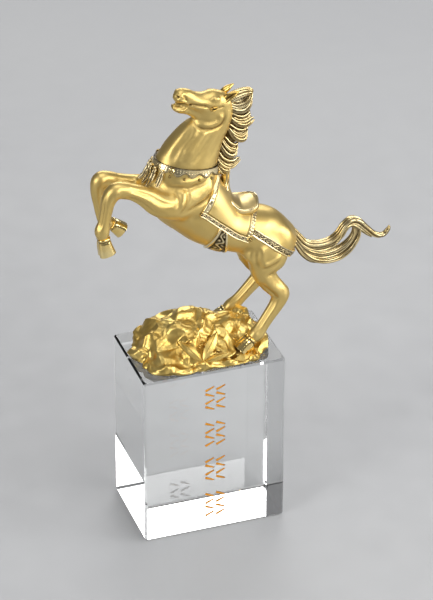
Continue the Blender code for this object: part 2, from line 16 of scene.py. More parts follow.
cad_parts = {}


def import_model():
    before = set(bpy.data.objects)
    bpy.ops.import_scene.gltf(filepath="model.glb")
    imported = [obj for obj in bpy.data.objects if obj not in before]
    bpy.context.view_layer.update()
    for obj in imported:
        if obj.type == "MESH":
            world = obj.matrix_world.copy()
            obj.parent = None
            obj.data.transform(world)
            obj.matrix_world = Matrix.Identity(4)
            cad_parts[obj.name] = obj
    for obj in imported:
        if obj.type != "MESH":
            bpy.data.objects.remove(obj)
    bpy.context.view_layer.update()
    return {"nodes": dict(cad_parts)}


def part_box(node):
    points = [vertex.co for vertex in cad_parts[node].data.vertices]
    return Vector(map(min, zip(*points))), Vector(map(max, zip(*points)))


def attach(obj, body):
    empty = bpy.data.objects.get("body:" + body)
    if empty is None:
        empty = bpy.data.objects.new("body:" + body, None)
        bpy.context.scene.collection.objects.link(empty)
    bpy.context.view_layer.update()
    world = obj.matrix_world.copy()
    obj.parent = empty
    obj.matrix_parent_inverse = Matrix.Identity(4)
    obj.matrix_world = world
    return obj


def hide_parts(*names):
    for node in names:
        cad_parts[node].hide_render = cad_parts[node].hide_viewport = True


# The block's height in the figure's units
BLOCK_UNITS = 102

# Fineness of the skin
FLESH_VOXEL = 1.0
SKIN_VOXEL = 0.6
FLESH_SMOOTH_STEPS = 16
SKIN_SMOOTH_STEPS = 6
HEAD_BOX = ((-20, 135), (14, 160))

# Masses of the body as rings along a spine: x, z, half height and half width
TRUNK = [
    (-26, 106.5, 7.5, 8),
    (-20, 102.5, 14, 12),
    (-12, 97, 17.5, 14),
    (-3.4, 90, 18, 15.2),
    (4.8, 80.3, 16.2, 15.8),
    (13.2, 73.5, 13.4, 16),
    (24.8, 69.2, 13.8, 15.6),
    (34.5, 64.5, 15, 15.2),
    (42.3, 60, 13, 13.8),
    (50, 56, 9.4, 9.8),
]
NECK = [
    (-9, 103, 19.5, 13.5),
    (-7.2, 113, 17.8, 12),
    (-3, 122, 15.2, 10.2),
    (2, 129.5, 12.8, 8.6),
    (7, 134.7, 10, 7.6),
    (11.3, 140.8, 7.6, 6.6),
    (13.5, 146.3, 5.2, 5.2),
]
HEAD = [
    (16, 146, 4.5, 4.6),
    (11.5, 146.2, 7, 5.8),
    (6.5, 146.6, 8, 6.5),
    (1, 147.9, 6.4, 5.6),
    (-4, 150.6, 4.8, 4.4),
    (-8, 153, 4.6, 3.9),
    (-11.3, 153.6, 4.3, 4),
    (-13.2, 153.6, 2.8, 3),
]
JAW = [
    (3, 141, 6, 5),
    (-3, 143.9, 3.4, 3.7),
    (-7, 145.5, 2.5, 3),
    (-10.5, 146.6, 2.5, 3.1),
    (-13, 147.8, 2, 2.5),
    (-14.2, 149.2, 1.2, 1.8),
]

# Legs as rings along the bone: x, y, z, half depth and half width
NEAR_FORELEG = [
    (-9, -8.5, 98, 12, 7.5),
    (-18, -12, 96.7, 8.4, 6.6),
    (-26.7, -12, 99.4, 7, 5.8),
    (-34.2, -11.5, 105.4, 5.5, 4.8),
    (-42.2, -11, 109.5, 4.4, 4),
    (-48.6, -10.5, 110.4, 4.7, 4.3),
    (-52.6, -10.5, 106.2, 4.1, 4),
    (-54.3, -10.7, 99.5, 3.4, 3.2),
    (-55.7, -10.9, 93, 3.4, 3.2),
    (-56.8, -11, 88.3, 4.1, 3.8),
    (-56.4, -11, 84, 3.1, 3.2),
]
FAR_FORELEG = [
    (-9, 8.5, 98, 12, 7.5),
    (-18, 12, 95.5, 8.4, 6.6),
    (-26.5, 12, 97.6, 6.8, 5.6),
    (-35, 11.5, 101, 5.1, 4.7),
    (-43.2, 11, 104.5, 4.3, 4),
    (-50.3, 10.8, 106, 4.8, 4.3),
    (-52.2, 10.8, 100.5, 4, 3.8),
    (-51.4, 11, 92, 3.4, 3.2),
    (-50, 11, 85, 3.4, 3.2),
    (-48, 11, 80.6, 4, 3.7),
    (-45, 11, 78.6, 3.1, 3.1),
]
NEAR_HIND_LEG = [
    (40, -7, 62, 12, 8),
    (34.5, -10, 59.5, 13.6, 8),
    (34, -11, 54.1, 11.8, 7.6),
    (32.4, -11.5, 49.4, 8.6, 6.8),
    (32.5, -12, 45.7, 6.5, 5.7),
    (36.1, -12.5, 40.1, 5.4, 4.8),
    (40, -13, 35.4, 5, 4.4),
    (41.5, -13, 31.9, 5.2, 4.2),
    (39.5, -13.4, 26.9, 4.3, 3.7),
    (34.1, -14, 19.5, 3.7, 3.3),
    (30.4, -14.5, 14.4, 3.7, 3.3),
    (27.3, -15, 10.7, 4.3, 3.9),
    (24.1, -15.5, 9, 3.4, 3.3),
]
FAR_HIND_LEG = [
    (40, 7, 62, 12, 8),
    (34.5, 10, 59.5, 13.6, 8),
    (34, 11, 54.1, 11.8, 7.6),
    (32.6, 11.5, 49.4, 8.8, 6.8),
    (32.5, 12, 45.5, 6.5, 5.7),
    (35.5, 12, 40, 5.4, 4.8),
    (39, 12, 35.5, 5, 4.4),
    (40.2, 12, 32.4, 5.1, 4.2),
    (37, 12, 28.3, 4.3, 3.7),
    (30.8, 12, 21.8, 3.8, 3.3),
    (26.5, 12, 17.4, 3.8, 3.3),
    (22.5, 12, 13.8, 4.2, 3.8),
    (19.5, 12, 11.6, 3.3, 3.3),
]
LEGS = (NEAR_FORELEG, FAR_FORELEG, NEAR_HIND_LEG, FAR_HIND_LEG)
FORELEGS, HIND_LEGS = (0, 1), (2, 3)
BARE_FROM = 4

# Hooves: coronet to sole
HOOVES = [
    [(-56.3, -11, 84.4, 3.2, 3.4), (-55.6, -11, 79.5, 4, 4), (-54.4, -11, 74.6, 4.7, 4.5)],
    [(-45.4, 11, 78.8, 3.2, 3.4), (-42.5, 11, 76.6, 3.9, 4), (-39.6, 11, 73.9, 4.5, 4.4)],
    [(24.4, -15.5, 9.2, 3.4, 3.6), (21.2, -15.9, 6.3, 4.2, 4.2), (18.2, -16.2, 3.2, 4.9, 4.7)],
    [(19.9, 12, 11.8, 3.4, 3.6), (16.8, 12, 9.2, 4.2, 4.2), (13.8, 12, 6.4, 4.9, 4.7)],
]

HOOF_SQUARENESS = 0.8

# Muscles and bony points: centre, half sizes along x, y and z, and tilt about y in degrees
SWELLINGS = [
    ((5.5, 0, 142.3), (7.2, 6.5, 6.6), 0),
    ((-6, 8.5, 98), (8.5, 6.2, 15), 35),
    ((-6, -8.5, 98), (8.5, 6.2, 15), 35),
    ((-25, 5, 103), (7, 6.5, 8.5), 20),
    ((-25, -5, 103), (7, 6.5, 8.5), 20),
    ((40, 6.5, 64), (13, 8.5, 10), 40),
    ((40, -6.5, 64), (13, 8.5, 10), 40),
]
FACE = [
    ((5.5, 0, 142.3), (7.2, 6.3, 6.6), 0),
    ((7.6, 4.4, 151.2), (2.8, 1.8, 1.7), 10),
    ((7.6, -4.4, 151.2), (2.8, 1.8, 1.7), 10),
    ((5.8, 5.2, 147), (1.8, 1.4, 1.6), 0),
    ((5.8, -5.2, 147), (1.8, 1.4, 1.6), 0),
    ((-11, 2.6, 154.6), (2.2, 1.8, 2.2), 30),
    ((-11, -2.6, 154.6), (2.2, 1.8, 2.2), 30),
]
EAR = [
    (12.5, 3.2, 148.5, 1.6, 1.9),
    (15, 3.8, 150.8, 2, 2.2),
    (17.8, 4.2, 152.3, 1.5, 1.7),
    (20.3, 4.4, 153.5, 0.4, 0.4),
]

# Folds on both flanks as seen from the side: width, rise, painted shade, and places as x and z
FLANK_CREASES = [
    (1.7, -0.5, 0, [(-18.5, 119.5), (-13.5, 126), (-9, 131), (-4.5, 137)]),
    (1.7, 0.4, 0, [(-19.5, 122), (-15.5, 128), (-10.5, 133.5), (-5.5, 139)]),
    (1.6, -0.5, 0, [(-14, 121.5), (-8.5, 128), (-3.6, 133.6), (0.3, 136.6)]),
    (1.7, 0.4, 0, [(-16, 120), (-11, 127), (-6, 132), (-1.5, 136.5)]),
    (1.8, -0.4, 0, [(-8, 119), (-2.5, 124), (2.4, 130), (6, 135)]),
    (2.4, 0.4, 0, [(-11, 120), (-5.5, 126), (-0.5, 131.5), (3, 136)]),
    (2.2, -0.4, 0, [(1, 118), (6, 124), (9.5, 131), (11, 138)]),
    (1.0, -0.8, 0.5, [
        (-4.6, 140.5), (-2.6, 137.4), (1, 136), (5.5, 135.6), (9.9, 137), (12, 140.5), (11.4, 145),
    ]),
    (1.6, 0.3, 0, [
        (-3.6, 141.8), (-1.6, 139.2), (2, 137.9), (5, 137.7), (8.4, 138.8), (10, 141.4), (9.4, 144),
    ]),
    (0.7, -0.6, 0.5, [(-6.7, 150.6), (-3.9, 149.6), (-1.2, 149.1), (1.5, 148.5), (3.6, 147.4)]),
    (0.7, -0.4, 0.4, [(8, 146.6), (10, 146.6), (12, 147)]),
    (1.0, 0.35, 0, [(-5.2, 148.4), (-2.4, 147.7), (0.8, 147), (3.2, 145.6)]),
    (1.3, 0.25, 0, [(3.9, 145.4), (7.2, 143.8), (9.6, 141.6), (10.4, 139.6)]),
    (0.7, -0.5, 0.3, [(-9.8, 156.2), (-8.4, 154), (-8, 152)]),
    (0.6, 0.5, 0, [(-13.4, 153.4), (-11.5, 153.3), (-9.4, 152.2), (-7.7, 150.5), (-6.4, 148.5)]),
    (0.55, 0.5, 0, [
        (-7.4, 149.2), (-7.6, 147.5), (-9.7, 146.7), (-12.4, 147), (-14.3, 148.3), (-14.9, 149.8),
    ]),
    (1.3, -0.7, 0, [(-20, 107.5), (-14, 106.6), (-8, 106.4), (-2, 107.6), (4, 110)]),
    (1.6, 0.55, 0, [(-20, 109.6), (-12, 109.4), (-5, 109.4), (2, 111)]),
    (1.2, -0.8, 0, [(-11, 107), (-10.8, 103.5), (-11.6, 100), (-13.6, 96.6), (-17, 93.6)]),
    (1.6, 0.7, 0, [(-14, 107), (-13.4, 103.6), (-14.2, 100.4), (-16.6, 96.6)]),
    (1.1, -0.6, 0, [(-18.2, 106), (-16.8, 103.6), (-17, 101), (-19, 98)]),
    (1.5, -0.8, 0, [(-16.5, 93), (-10.6, 94.8), (-4.5, 96.4), (0, 98.6), (4.5, 101.6)]),
    (2.6, 0.7, 0, [(-9, 98.6), (-4, 100), (1, 102.8), (5, 106)]),
    (2.2, -0.5, 0, [(-9.5, 88), (-3, 90), (3, 94)]),
    (2.2, -0.45, 0, [(28, 77), (24.5, 71), (22.5, 64), (23, 59)]),
    (1.7, -0.8, 0, [(27.5, 64), (26.4, 60), (26.6, 56), (28.5, 51.5)]),
    (2.2, 0.7, 0, [(24, 64), (23.4, 60), (24, 55.5), (26.4, 51)]),
    (1.8, 0.5, 0, [(30.5, 65), (29.6, 60.5), (30, 56), (31.6, 52)]),
    (1.2, -0.7, 0, [(40.5, 56.6), (36.5, 54), (32.5, 52.6), (29, 52.4)]),
    (1.4, 0.6, 0, [(41, 59), (37, 56.4), (32.5, 55), (29.5, 55)]),
    (1.1, -0.55, 0, [(38, 50.5), (35.5, 48.4), (32.5, 46.6)]),
    (3.2, -0.5, 0, [(47, 68), (42, 67.5), (37, 70), (33.5, 75)]),
]

# Tendons and bones along the legs: legs, angle round the bone in degrees from its front,
# places along its rings, width and rise
LEG_CREASES = [
    (FORELEGS, 60, (1.6, 4.2), 1.1, -0.55),
    (FORELEGS, 88, (1.4, 4.4), 1.2, 0.5),
    (FORELEGS, 118, (1.2, 4.2), 1.0, -0.5),
    (FORELEGS, 30, (2, 4.6), 1.1, 0.3),
    (FORELEGS, 140, (5.6, 9), 0.8, -0.45),
    (FORELEGS, 100, (5.8, 9), 0.8, 0.25),
    (FORELEGS, 90, (4.7, 5.6), 1.5, 0.35),
    (FORELEGS, 60, (5.4, 6.4), 0.8, -0.35),
    (HIND_LEGS, 55, (3.4, 6), 1.1, -0.45),
    (HIND_LEGS, 95, (3.6, 6.6), 1.2, 0.45),
    (HIND_LEGS, 130, (4, 7.4), 1.0, -0.55),
    (HIND_LEGS, 165, (4.2, 7.2), 1.1, 0.4),
    (HIND_LEGS, 110, (7.2, 10.6), 0.8, 0.3),
    (HIND_LEGS, 142, (7.4, 10.8), 0.8, -0.5),
    (HIND_LEGS, 60, (7.4, 10.4), 0.8, -0.25),
    (HIND_LEGS, 80, (6.2, 7.4), 1.4, 0.3),
]

# Hollows pressed into both sides of the head: centre, half sizes along x, y and z, depth, painted shade
HOLLOWS = [
    ((6.1, 6.4, 146.5), (1.7, 1.6, 0.95), 0.85, 0.9),
    ((-12.6, 3.1, 155.2), (1.15, 1.9, 0.75), 1.0, 0.8),
    ((-10.6, 2.6, 150), (3.0, 2.2, 1.1), 1.1, 0.5),
    ((-5.9, 3.6, 149.3), (1.0, 1.6, 0.8), 0.8, 0.7),
]
EYE_CENTRE = (6.0, 5.55, 146.5)
EYE_RADIUS = 1.35
LID_RADIUS = 0.34

# The mane's core behind its locks
MANE_CORE = [
    (18.9, 144.5),
    (19.6, 138),
    (18.3, 130.5),
    (15.7, 122.5),
    (13.1, 115.5),
    (12.7, 111),
]
# Locks of the mane as seen from the side: half size, and places from the crest to the tip
MANE_TUFT = (3.1, [
    (11.5, 146.5), (14.3, 146.2), (17.5, 148), (21.4, 149.4), (25.2, 150.2), (28, 150.1), (29.6, 149.4),
])
MANE_LOCKS = [
    (1.5, [(15.5, 145.7), (19.9, 143.5), (24.3, 144.2), (27.6, 147.2), (28.7, 149.9)]),
    (1.5, [(16.1, 143.3), (19.4, 141.3), (23.8, 140.8), (27.1, 143.2), (28.7, 147)]),
    (1.1, [(17.2, 139.9), (20.5, 138.2), (23.8, 137.6), (26.6, 138.9), (27.4, 139.9)]),
    (1.5, [(17.2, 137.6), (20.5, 135.2), (24.4, 134.8), (27.2, 135.8), (28.3, 136.2)]),
    (1.3, [(17.8, 136), (20.6, 133.2), (24.4, 132), (27.7, 132.8), (30.2, 133.8)]),
    (1.1, [(16.7, 133.2), (20, 130.6), (23.3, 129.7), (25.6, 130.2), (26.6, 130.9)]),
    (1.3, [(16.4, 131.2), (18.9, 128.1), (22.3, 126.4), (25, 127.1), (26.4, 128.6)]),
    (1.3, [(15.9, 130.7), (18.1, 126.5), (21.2, 123.9), (24.5, 123.6), (26.4, 125.9)]),
    (1.1, [(14, 126.3), (16.2, 123.3), (18.4, 121.7), (20.1, 121.7), (21.2, 122.7)]),
    (1.3, [(12.6, 124.5), (14.8, 120.6), (17.6, 118.6), (19.8, 118.8), (20.9, 120.4)]),
    (1.3, [(11.2, 122.4), (13.5, 117.8), (16.2, 115.4), (19, 115.2), (20.7, 117.2)]),
    (1.3, [(9.9, 119.1), (12.1, 115.1), (15.2, 112.8), (18.5, 112.2), (21.2, 113.2)]),
    (1.5, [(9, 116.3), (11.3, 112), (14.6, 109.3), (18.5, 108.9), (22.6, 111.4)]),
    (1.1, [(8.2, 114), (9.9, 110.4), (12.4, 107.6), (15.2, 106.5), (16.8, 107.1)]),
    (1.2, [(8, 113.5), (9.3, 109.6), (11.6, 106), (14.6, 103.2)]),
]
MANE_SPREAD = 2.6

# Strands of the tail as seen from the side: half size, and places from the root to the tip
TAIL_ROOT = (47.5, 60.5)
TAIL_STRANDS = [
    (1.6, [
        (52, 63.4), (56.7, 58.2), (60.8, 53.4), (67.1, 51.5), (74, 52.1), (79.1, 55.5), (82.2, 59.9),
        (86.5, 62.8), (91.1, 61.3), (95.9, 56.1), (101.3, 50.8), (105.4, 49.9), (108.2, 52.5),
        (109, 54.5),
    ]),
    (1.5, [
        (52.3, 62.1), (57.3, 56.2), (61.4, 51.4), (67.8, 49.5), (74.7, 50.1), (80.3, 53.4), (83.1, 57.5),
        (86.5, 60.6), (90.6, 59.4), (95.4, 54.6), (100.1, 50.3), (104.3, 49), (107.7, 51),
    ]),
    (1.3, [
        (52.6, 60.8), (57.9, 53.6), (62.6, 49.3), (69, 47.4), (75.2, 48.4), (79, 51.6), (80.8, 55.2),
        (83.6, 58.6), (87.4, 59.3), (91.6, 56), (95.4, 52.4), (98.7, 49.6),
    ]),
    (1.1, [
        (53, 58.9), (58.5, 51.3), (63.8, 46.9), (70.2, 44.8), (76.5, 45.2), (81.8, 47.2), (85.8, 50.4),
        (87.8, 53.8), (88, 56.4), (87.6, 59),
    ]),
    (1.3, [
        (53.3, 57.6), (59.1, 49.3), (64.4, 44.4), (70.8, 42.4), (77.7, 42.9), (83.4, 45.9), (87.1, 49.9),
        (89.2, 53.7), (89.4, 56.4), (89, 58.8),
    ]),
    (1.2, [
        (53.3, 56.3), (59.2, 47.7), (65, 42.2), (72, 39.8), (79.5, 40.3), (85.2, 43.4), (89.2, 48),
        (91.2, 52.2), (91.6, 55.2), (91.2, 58),
    ]),
    (1, [(53.3, 54.5), (58, 47), (63.3, 41.6), (69.7, 39.1)]),
]
TAIL_SPREAD = 1.5
STRAND_LOOK = {"sides": 27, "depth": 0.42}

# Saddle from pommel to cantle: x and z of its middle, half width, x and z of its rims, and depth
SADDLE = [
    (17, 107.5, 1.5, 16.4, 107, 2.6),
    (17, 101.5, 2.2, 15.6, 100.5, 3),
    (17, 96, 4.6, 14, 95.4, 3.4),
    (18.8, 91, 8.4, 15.6, 90, 3.5),
    (22.2, 87.6, 9.6, 19.4, 86, 4),
    (26.4, 86.6, 9.6, 24.6, 85, 3.4),
    (29.6, 86.9, 8.4, 28.9, 85.3, 2.2),
    (31.2, 87.6, 6.2, 30.6, 86.4, 1.6),
    (31.8, 87.9, 3.2, 31.6, 87.4, 1.2),
]
SADDLE_RIM = 0.5
SEAT_SATIN = 0.7

# Tack, as places along the trunk's rings and angles from the spine in degrees
TACK_THICKNESS = 1.1
BLANKET_FRONT = (2.8, 2.95)
BLANKET_REAR = (6.1, 5.8)
BLANKET_REACH = 95
BLANKET_LIFT = 9
BLANKET_BORDER = 3
GIRTH_FRONT = (4.05, 4.75)
GIRTH_REAR = (4.6, 5.3)
COLLAR_CENTRE = (-8.5, 0, 116.3)
COLLAR_UP = (0.205, 0, 0.979)
COLLAR_DEPTH = 4.1
COLLAR_TOOTH = 1.1
COLLAR_PITCH = 7.35
STUD_RADIUS = 0.8
PLUME_ANGLES = (-29, -14, 0, 14, 29)
PLUME_DROP = 4.2
PLUME_LENGTH = 10
PLUME_SPREAD = 0.9
PLUME_KNOT = 0.95
# Rings of a plume: share of its length, half size, and how proud of the breast it is
PLUME_RINGS = [
    (-0.06, 1.1, 1.3),
    (0.08, 1.8, 1.5),
    (0.25, 2.2, 1.2),
    (0.5, 2.4, 1.0),
    (0.75, 2.1, 1.0),
    (0.92, 1.4, 1.4),
    (1.0, 0.6, 1.9),
]
# Rosettes on both sides of the horse: place, facing and radius
ROSETTES = [
    ((-18.8, 11.1, 116.9), (-0.55, 0.8, 0.1), 1.7),
    ((22.8, 16.2, 71.6), (0, 1, 0.1), 2.1),
]
BREECHING_CENTRE = (30, 0, 70)
BREECHING_BACK = (0.77, 0, -0.638)
BREECHING_HALF_DEPTH = 1.9

# Rock: heights of its ridge from end to end, and hollows as x, y, depth and spreads
ROCK_HALF_LENGTH = 37
ROCK_HALF_WIDTH = 24
ROCK_CENTRE = (-0.5, -1)
ROCK_RIDGE = [2, 12.5, 17, 19.5, 18, 15, 14.5, 12, 3]
ROCK_RIDGE_Y = 5
ROCK_HOLLOWS = [
    (20, -17, 6, 8, 8),
    (16.5, 13, 6, 7, 6),
    (-33, -16, 3, 8, 8),
]
ROCK_FOOT = 3
ROCK_SQUARENESS = 3.2
ROCK_LOBES = 17
ROCK_SCALLOP = 0.05
ROCK_LIP = 1.2
ROCK_REACH = 1.04
ROCK_TUCK = 0.03
CRAG_SIZE = 12
CRAG_HEIGHT = 1.5
# How much shade is painted into the rock's hollows
ROCK_SHADE = 1.2
CRUMPLES = [(16, 2.4), (8, 0.8), (4, 0.3)]
# How the creases wander: size, reach, and where in the noise each axis is read
BEND_SIZE = 9
BEND_REACH = 3.5
BEND_SHIFTS = [(9.3, -1.5, -7.9), (0, 0, 0), (6.3, 0.2, -2.7)]
LEAVES = [
    ((-6.4, -23.6, 5.6), (-17.8, -16.8, 16.6), 2.5),
    ((-5.8, -23.6, 5.6), (5.4, -14.4, 16.8), 2.6),
    ((-4.6, -23.6, 4.6), (11, -21.4, 6.6), 1.7),
]

# Inscription: rows of slanting strokes in four places down the front of the block, in metres
PLACES = 4
PLACE_PITCH = 0.023
FIRST_PLACE = 0.0165
ROWS_IN_PLACE = 4
ROW_PITCH = 0.0041
STROKE_LENGTH = 0.0056
STROKE_SPACING = 0.0062
STROKE_HEAD = 0.0015
STROKE_TAIL = 0.0008
STROKE_SLANT = 24
PAINT_DEPTH = 0.00035
PAINT_TONES = (0.95, 0.43, 0.03), (0.82, 0.31, 0.015)

# The floor, a hair below the block so that the glass keeps its own underside
FLOOR_HALF_SIDE = 6
FLOOR_GAP = 0.0002
FLOOR_TONES = (0.42, 0.425, 0.435), (0.45, 0.455, 0.46)

# Lamps, all facing a point at LAMP_AIM unless they have their own: place, size and power
SURROUND = (0.19, 0.19, 0.195, 1)
LAMP_AIM = (0, 0, 0.16)
LAMPS = [
    ("front_box", (0.45, -1.25, 0.85), LAMP_AIM, (0.8, 0.6), 8),
    ("fill_left", (-1.2, -0.5, 0.7), LAMP_AIM, (0.6, 0.8), 7),
    ("key_right", (1.25, -0.6, 0.62), LAMP_AIM, (0.9, 0.9), 12.5),
    ("back_box", (0.45, 1.25, 0.82), (0, 0, 0.1), (1.3, 0.55), 8),
    ("top_box", (0, -0.3, 1.9), LAMP_AIM, (1.2, 1.2), 8),
    ("floor_wash", (0, 0, 3), (0, 0, 0), (3.5, 3.5), 9),
]

# Satin gilding: its colour, and what it adds to a polished roughness
SATIN_GOLD = (0.76, 0.56, 0.20)
SATIN_ROUGHNESS = 0.26
# Gildings: light and warm tones, the dark tone painted as shade in recesses, roughness, and the grain's size
# and height
GILDINGS = {
    "satin_gilt": ((0.80, 0.58, 0.20), (0.72, 0.47, 0.11), (0.10, 0.05, 0.012), 0.14, 0.00045, 0.00004),
    "polished_gilt": ((0.94, 0.76, 0.36), (0.86, 0.60, 0.18), (0.02, 0.01, 0.003), 0.12, 0.0012, 0.00002),
    "crumpled_gilt": ((0.82, 0.61, 0.20), (0.74, 0.50, 0.13), (0.07, 0.035, 0.006), 0.34, 0.0011, 0.00004),
    "bright_gilt": ((0.95, 0.81, 0.49), (0.90, 0.70, 0.35), (0.02, 0.01, 0.003), 0.15, 0.0009, 0.00002),
    "hair_gilt": ((0.95, 0.81, 0.47), (0.90, 0.68, 0.30), (0.09, 0.05, 0.012), 0.16, 0.0009, 0.00002),
}

# Camera: place, aim and lens, from the fit of the block's edges
CAMERA_PLACE = (-0.4699, -1.3683, 1.0127)
CAMERA_AZIMUTH = -19.325
CAMERA_ELEVATION = 31.353
CAMERA_ROLL = 0.188
CAMERA_LENS = 189.75
SENSOR = 36


def curve(rows, places):
    """Rows of numbers at fractional places along a list of rows, on a smooth curve through them."""
    rows, places = np.asarray(rows, float), np.asarray(places, float)
    last = len(rows) - 1
    span = np.clip(places.astype(int), 0, last - 1)
    share = (places - span)[..., None]
    before, start, end, after = (rows[np.clip(span + step, 0, last)] for step in (-1, 0, 1, 2))
    square, cube = share**2, share**3
    return (
        (2 * cube - 3 * square + 1) * start
        + (cube - 2 * square + share) * (end - before) / 2
        + (3 * square - 2 * cube) * end
        + (cube - square) * (after - start) / 2
    )


def smoothed(rows, steps):
    return curve(rows, np.arange((len(rows) - 1) * steps + 1) / steps)


def unit(vectors):
    return vectors / np.maximum(np.linalg.norm(vectors, axis=-1, keepdims=True), 1e-9)


def in_plane(rows):
    """Rings drawn on the median plane, given their place across it."""
    return [(x, 0, z, half_height, half_width) for x, z, half_height, half_width in rows]


class Shape:
    """Points and faces gathered for one mesh, with how much shade is painted on it and how satin it is at
    each point.
    """

    def __init__(self):
        self.points = []
        self.marks = {"painted_shade": [], "satin": []}
        self.faces = []
        self.count = 0

    def add_points(self, points, painted_shade=0.0, satin=0.0):
        first = self.count
        points = np.asarray(points, float).reshape(-1, 3)
        self.points.append(points)
        for name, mark in (("painted_shade", painted_shade), ("satin", satin)):
            self.marks[name].append(np.broadcast_to(np.ravel(mark), (len(points),)))
        self.count += len(points)
        return first

    def add_grid(self, grid, painted_shade=0.0, around=False, satin=0.0):
        """Faces over a grid of points. One that goes around joins its last column to its first."""
        rows, columns = grid.shape[:2]
        first = self.add_points(
            grid,
            np.broadcast_to(painted_shade, (rows, columns)),
            np.broadcast_to(satin, (rows, columns)),
        )
        index = first + np.arange(rows * columns).reshape(rows, columns)
        if around:
            index = np.hstack([index, index[:, :1]])
        corners = index[:-1, :-1], index[:-1, 1:], index[1:, 1:], index[1:, :-1]
        self.faces += np.stack(corners, axis=-1).reshape(-1, 4).tolist()
        return index

    def add_fan(self, ring, peak, flip=False, painted_shade=0.0):
        """Triangles from a closed ring of point numbers to one point."""
        top = self.add_points(peak, painted_shade)
        for first, second in zip(ring[:-1].tolist(), ring[1:].tolist()):
            self.faces.append((second, first, top) if flip else (first, second, top))

    def mesh(self, name):
        mesh = bpy.data.meshes.new(name)
        mesh.from_pydata(np.vstack(self.points), [], self.faces)
        for name, mark in self.marks.items():
            set_mark(mesh, name, np.concatenate(mark))
        return mesh


def set_mark(mesh, name, values):
    """Gives each point of a mesh a number that the materials read."""
    mark = mesh.attributes.get(name) or mesh.attributes.new(name, "FLOAT", "POINT")
    mark.data.foreach_set("value", np.clip(values, 0, 1).astype(np.float32))


def frames(centres):
    """Tangents, and the directions to the side and up, along a line that doesn't run straight across."""
    tangents = unit(np.gradient(centres, axis=0))
    side = unit(np.array((0, 1, 0)) - tangents * tangents[:, 1:2])
    return tangents, side, np.cross(tangents, side)


def add_loft(shape, rows, sides=16, steps=4, flutes=0, depth=0.3, twist=0.0, phase=0.0, shade_share=0.0, under=0.0):
    """A closed tube through rings of the given half sizes, with flutes that twist along it.

    Shade can be painted over all of it, or just its underside, besides the shade painted in its flutes.
    """
    rings = smoothed(rows, steps)
    centres = rings[:, :3]
    tangents, side, normal = frames(centres)
    angles = 2 * np.pi * np.arange(sides) / sides
    along = np.linspace(0, 1, len(rings))[:, None]
    wave = np.ones((len(rings), sides))
    if flutes:
        wave = np.cos(flutes * (angles + phase) + 2 * np.pi * twist * along)
    groove = (0.5 - 0.5 * wave) ** 1.6
    sizes = np.maximum(0.05, rings[:, 3:5])
    offset = normal[:, None] * (np.cos(angles) * sizes[:, :1])[..., None]
    offset = offset + side[:, None] * (np.sin(angles) * sizes[:, 1:2])[..., None]
    grid = centres[:, None] + offset * (1 - depth * groove)[..., None]
    # Painted shade: in the flutes, on the underside, or over the whole tube
    dark = np.maximum(shade_share, under * np.clip(-1.8 * np.cos(angles) - 0.5, 0, 1))
    index = shape.add_grid(grid, np.maximum(groove, dark), around=True)
    bulge = 0.45
    shape.add_fan(index[0], centres[0] - tangents[0] * sizes[0, 0] * bulge, flip=True)
    shape.add_fan(index[-1], centres[-1] + tangents[-1] * sizes[-1, 0] * bulge)


def add_tube(shape, line, radii, sides=10, painted_shade=0.0, closed=False):
    """A round tube along any line of points."""
    line = np.asarray(line, float)
    radii = np.broadcast_to(radii, (len(line),))
    tangents = unit(np.gradient(line, axis=0))
    normals = np.empty_like(line)
    previous = np.array((0.31, 0.17, 0.93))
    for row, tangent in enumerate(tangents):
        previous = unit(previous - tangent * (previous @ tangent))
        normals[row] = previous
    others = np.cross(tangents, normals)
    angles = 2 * np.pi * np.arange(sides) / sides
    rings = normals[:, None] * np.cos(angles)[:, None] + others[:, None] * np.sin(angles)[:, None]
    grid = line[:, None] + rings * radii[:, None, None]
    index = shape.add_grid(grid, painted_shade, around=True)
    if not closed:
        shape.add_fan(index[0], line[0] - tangents[0] * radii[0] * 0.6, flip=True, painted_shade=painted_shade)
        shape.add_fan(index[-1], line[-1] + tangents[-1] * radii[-1] * 0.6, painted_shade=painted_shade)


def add_ball(shape, centre, half_sizes, tilt=0, rows=14, sides=22, painted_shade=0.0):
    """An ellipsoid, turned about the cross axis."""
    latitudes = np.pi * np.arange(1, rows) / rows
    angles = 2 * np.pi * np.arange(sides) / sides
    ball = np.stack(
        [
            np.outer(np.sin(latitudes), np.cos(angles)),
            np.outer(np.sin(latitudes), np.sin(angles)),
            np.outer(np.cos(latitudes), np.ones(sides)),
        ],
        axis=-1,
    )
    turn = np.array(Matrix.Rotation(math.radians(tilt), 3, "Y"))
    stretch = np.asarray(half_sizes, float)
    index = shape.add_grid((ball * stretch) @ turn.T + centre, painted_shade, around=True)
    pole = turn @ (np.array((0, 0, 1)) * stretch)
    shape.add_fan(index[0], centre + pole, flip=True, painted_shade=painted_shade)
    shape.add_fan(index[-1], centre - pole, painted_shade=painted_shade)


def points_of(mesh):
    points = np.empty(len(mesh.vertices) * 3)
    mesh.vertices.foreach_get("co", points)
    return points.reshape(-1, 3)


def normals_of(mesh):
    normals = np.empty(len(mesh.vertices) * 3)
    mesh.vertex_normals.foreach_get("vector", normals)
    return normals.reshape(-1, 3)


def set_points(mesh, points):
    mesh.vertices.foreach_set("co", points.astype(np.float32).ravel())
    mesh.update()


def fused(name, mesh, voxel, rounds):
    """One skin over overlapping shells, with soft joins."""
    obj = bpy.data.objects.new(name, mesh)
    bpy.context.scene.collection.objects.link(obj)
    remesh = obj.modifiers.new("one skin", "REMESH")
    remesh.mode = "VOXEL"
    remesh.voxel_size = voxel
    smooth = obj.modifiers.new("soft joins", "SMOOTH")
    smooth.factor = 0.5
    smooth.iterations = rounds
    graph = bpy.context.evaluated_depsgraph_get()
    graph.update()
    skin = bpy.data.meshes.new_from_object(obj.evaluated_get(graph))
    bpy.data.objects.remove(obj)
    return skin


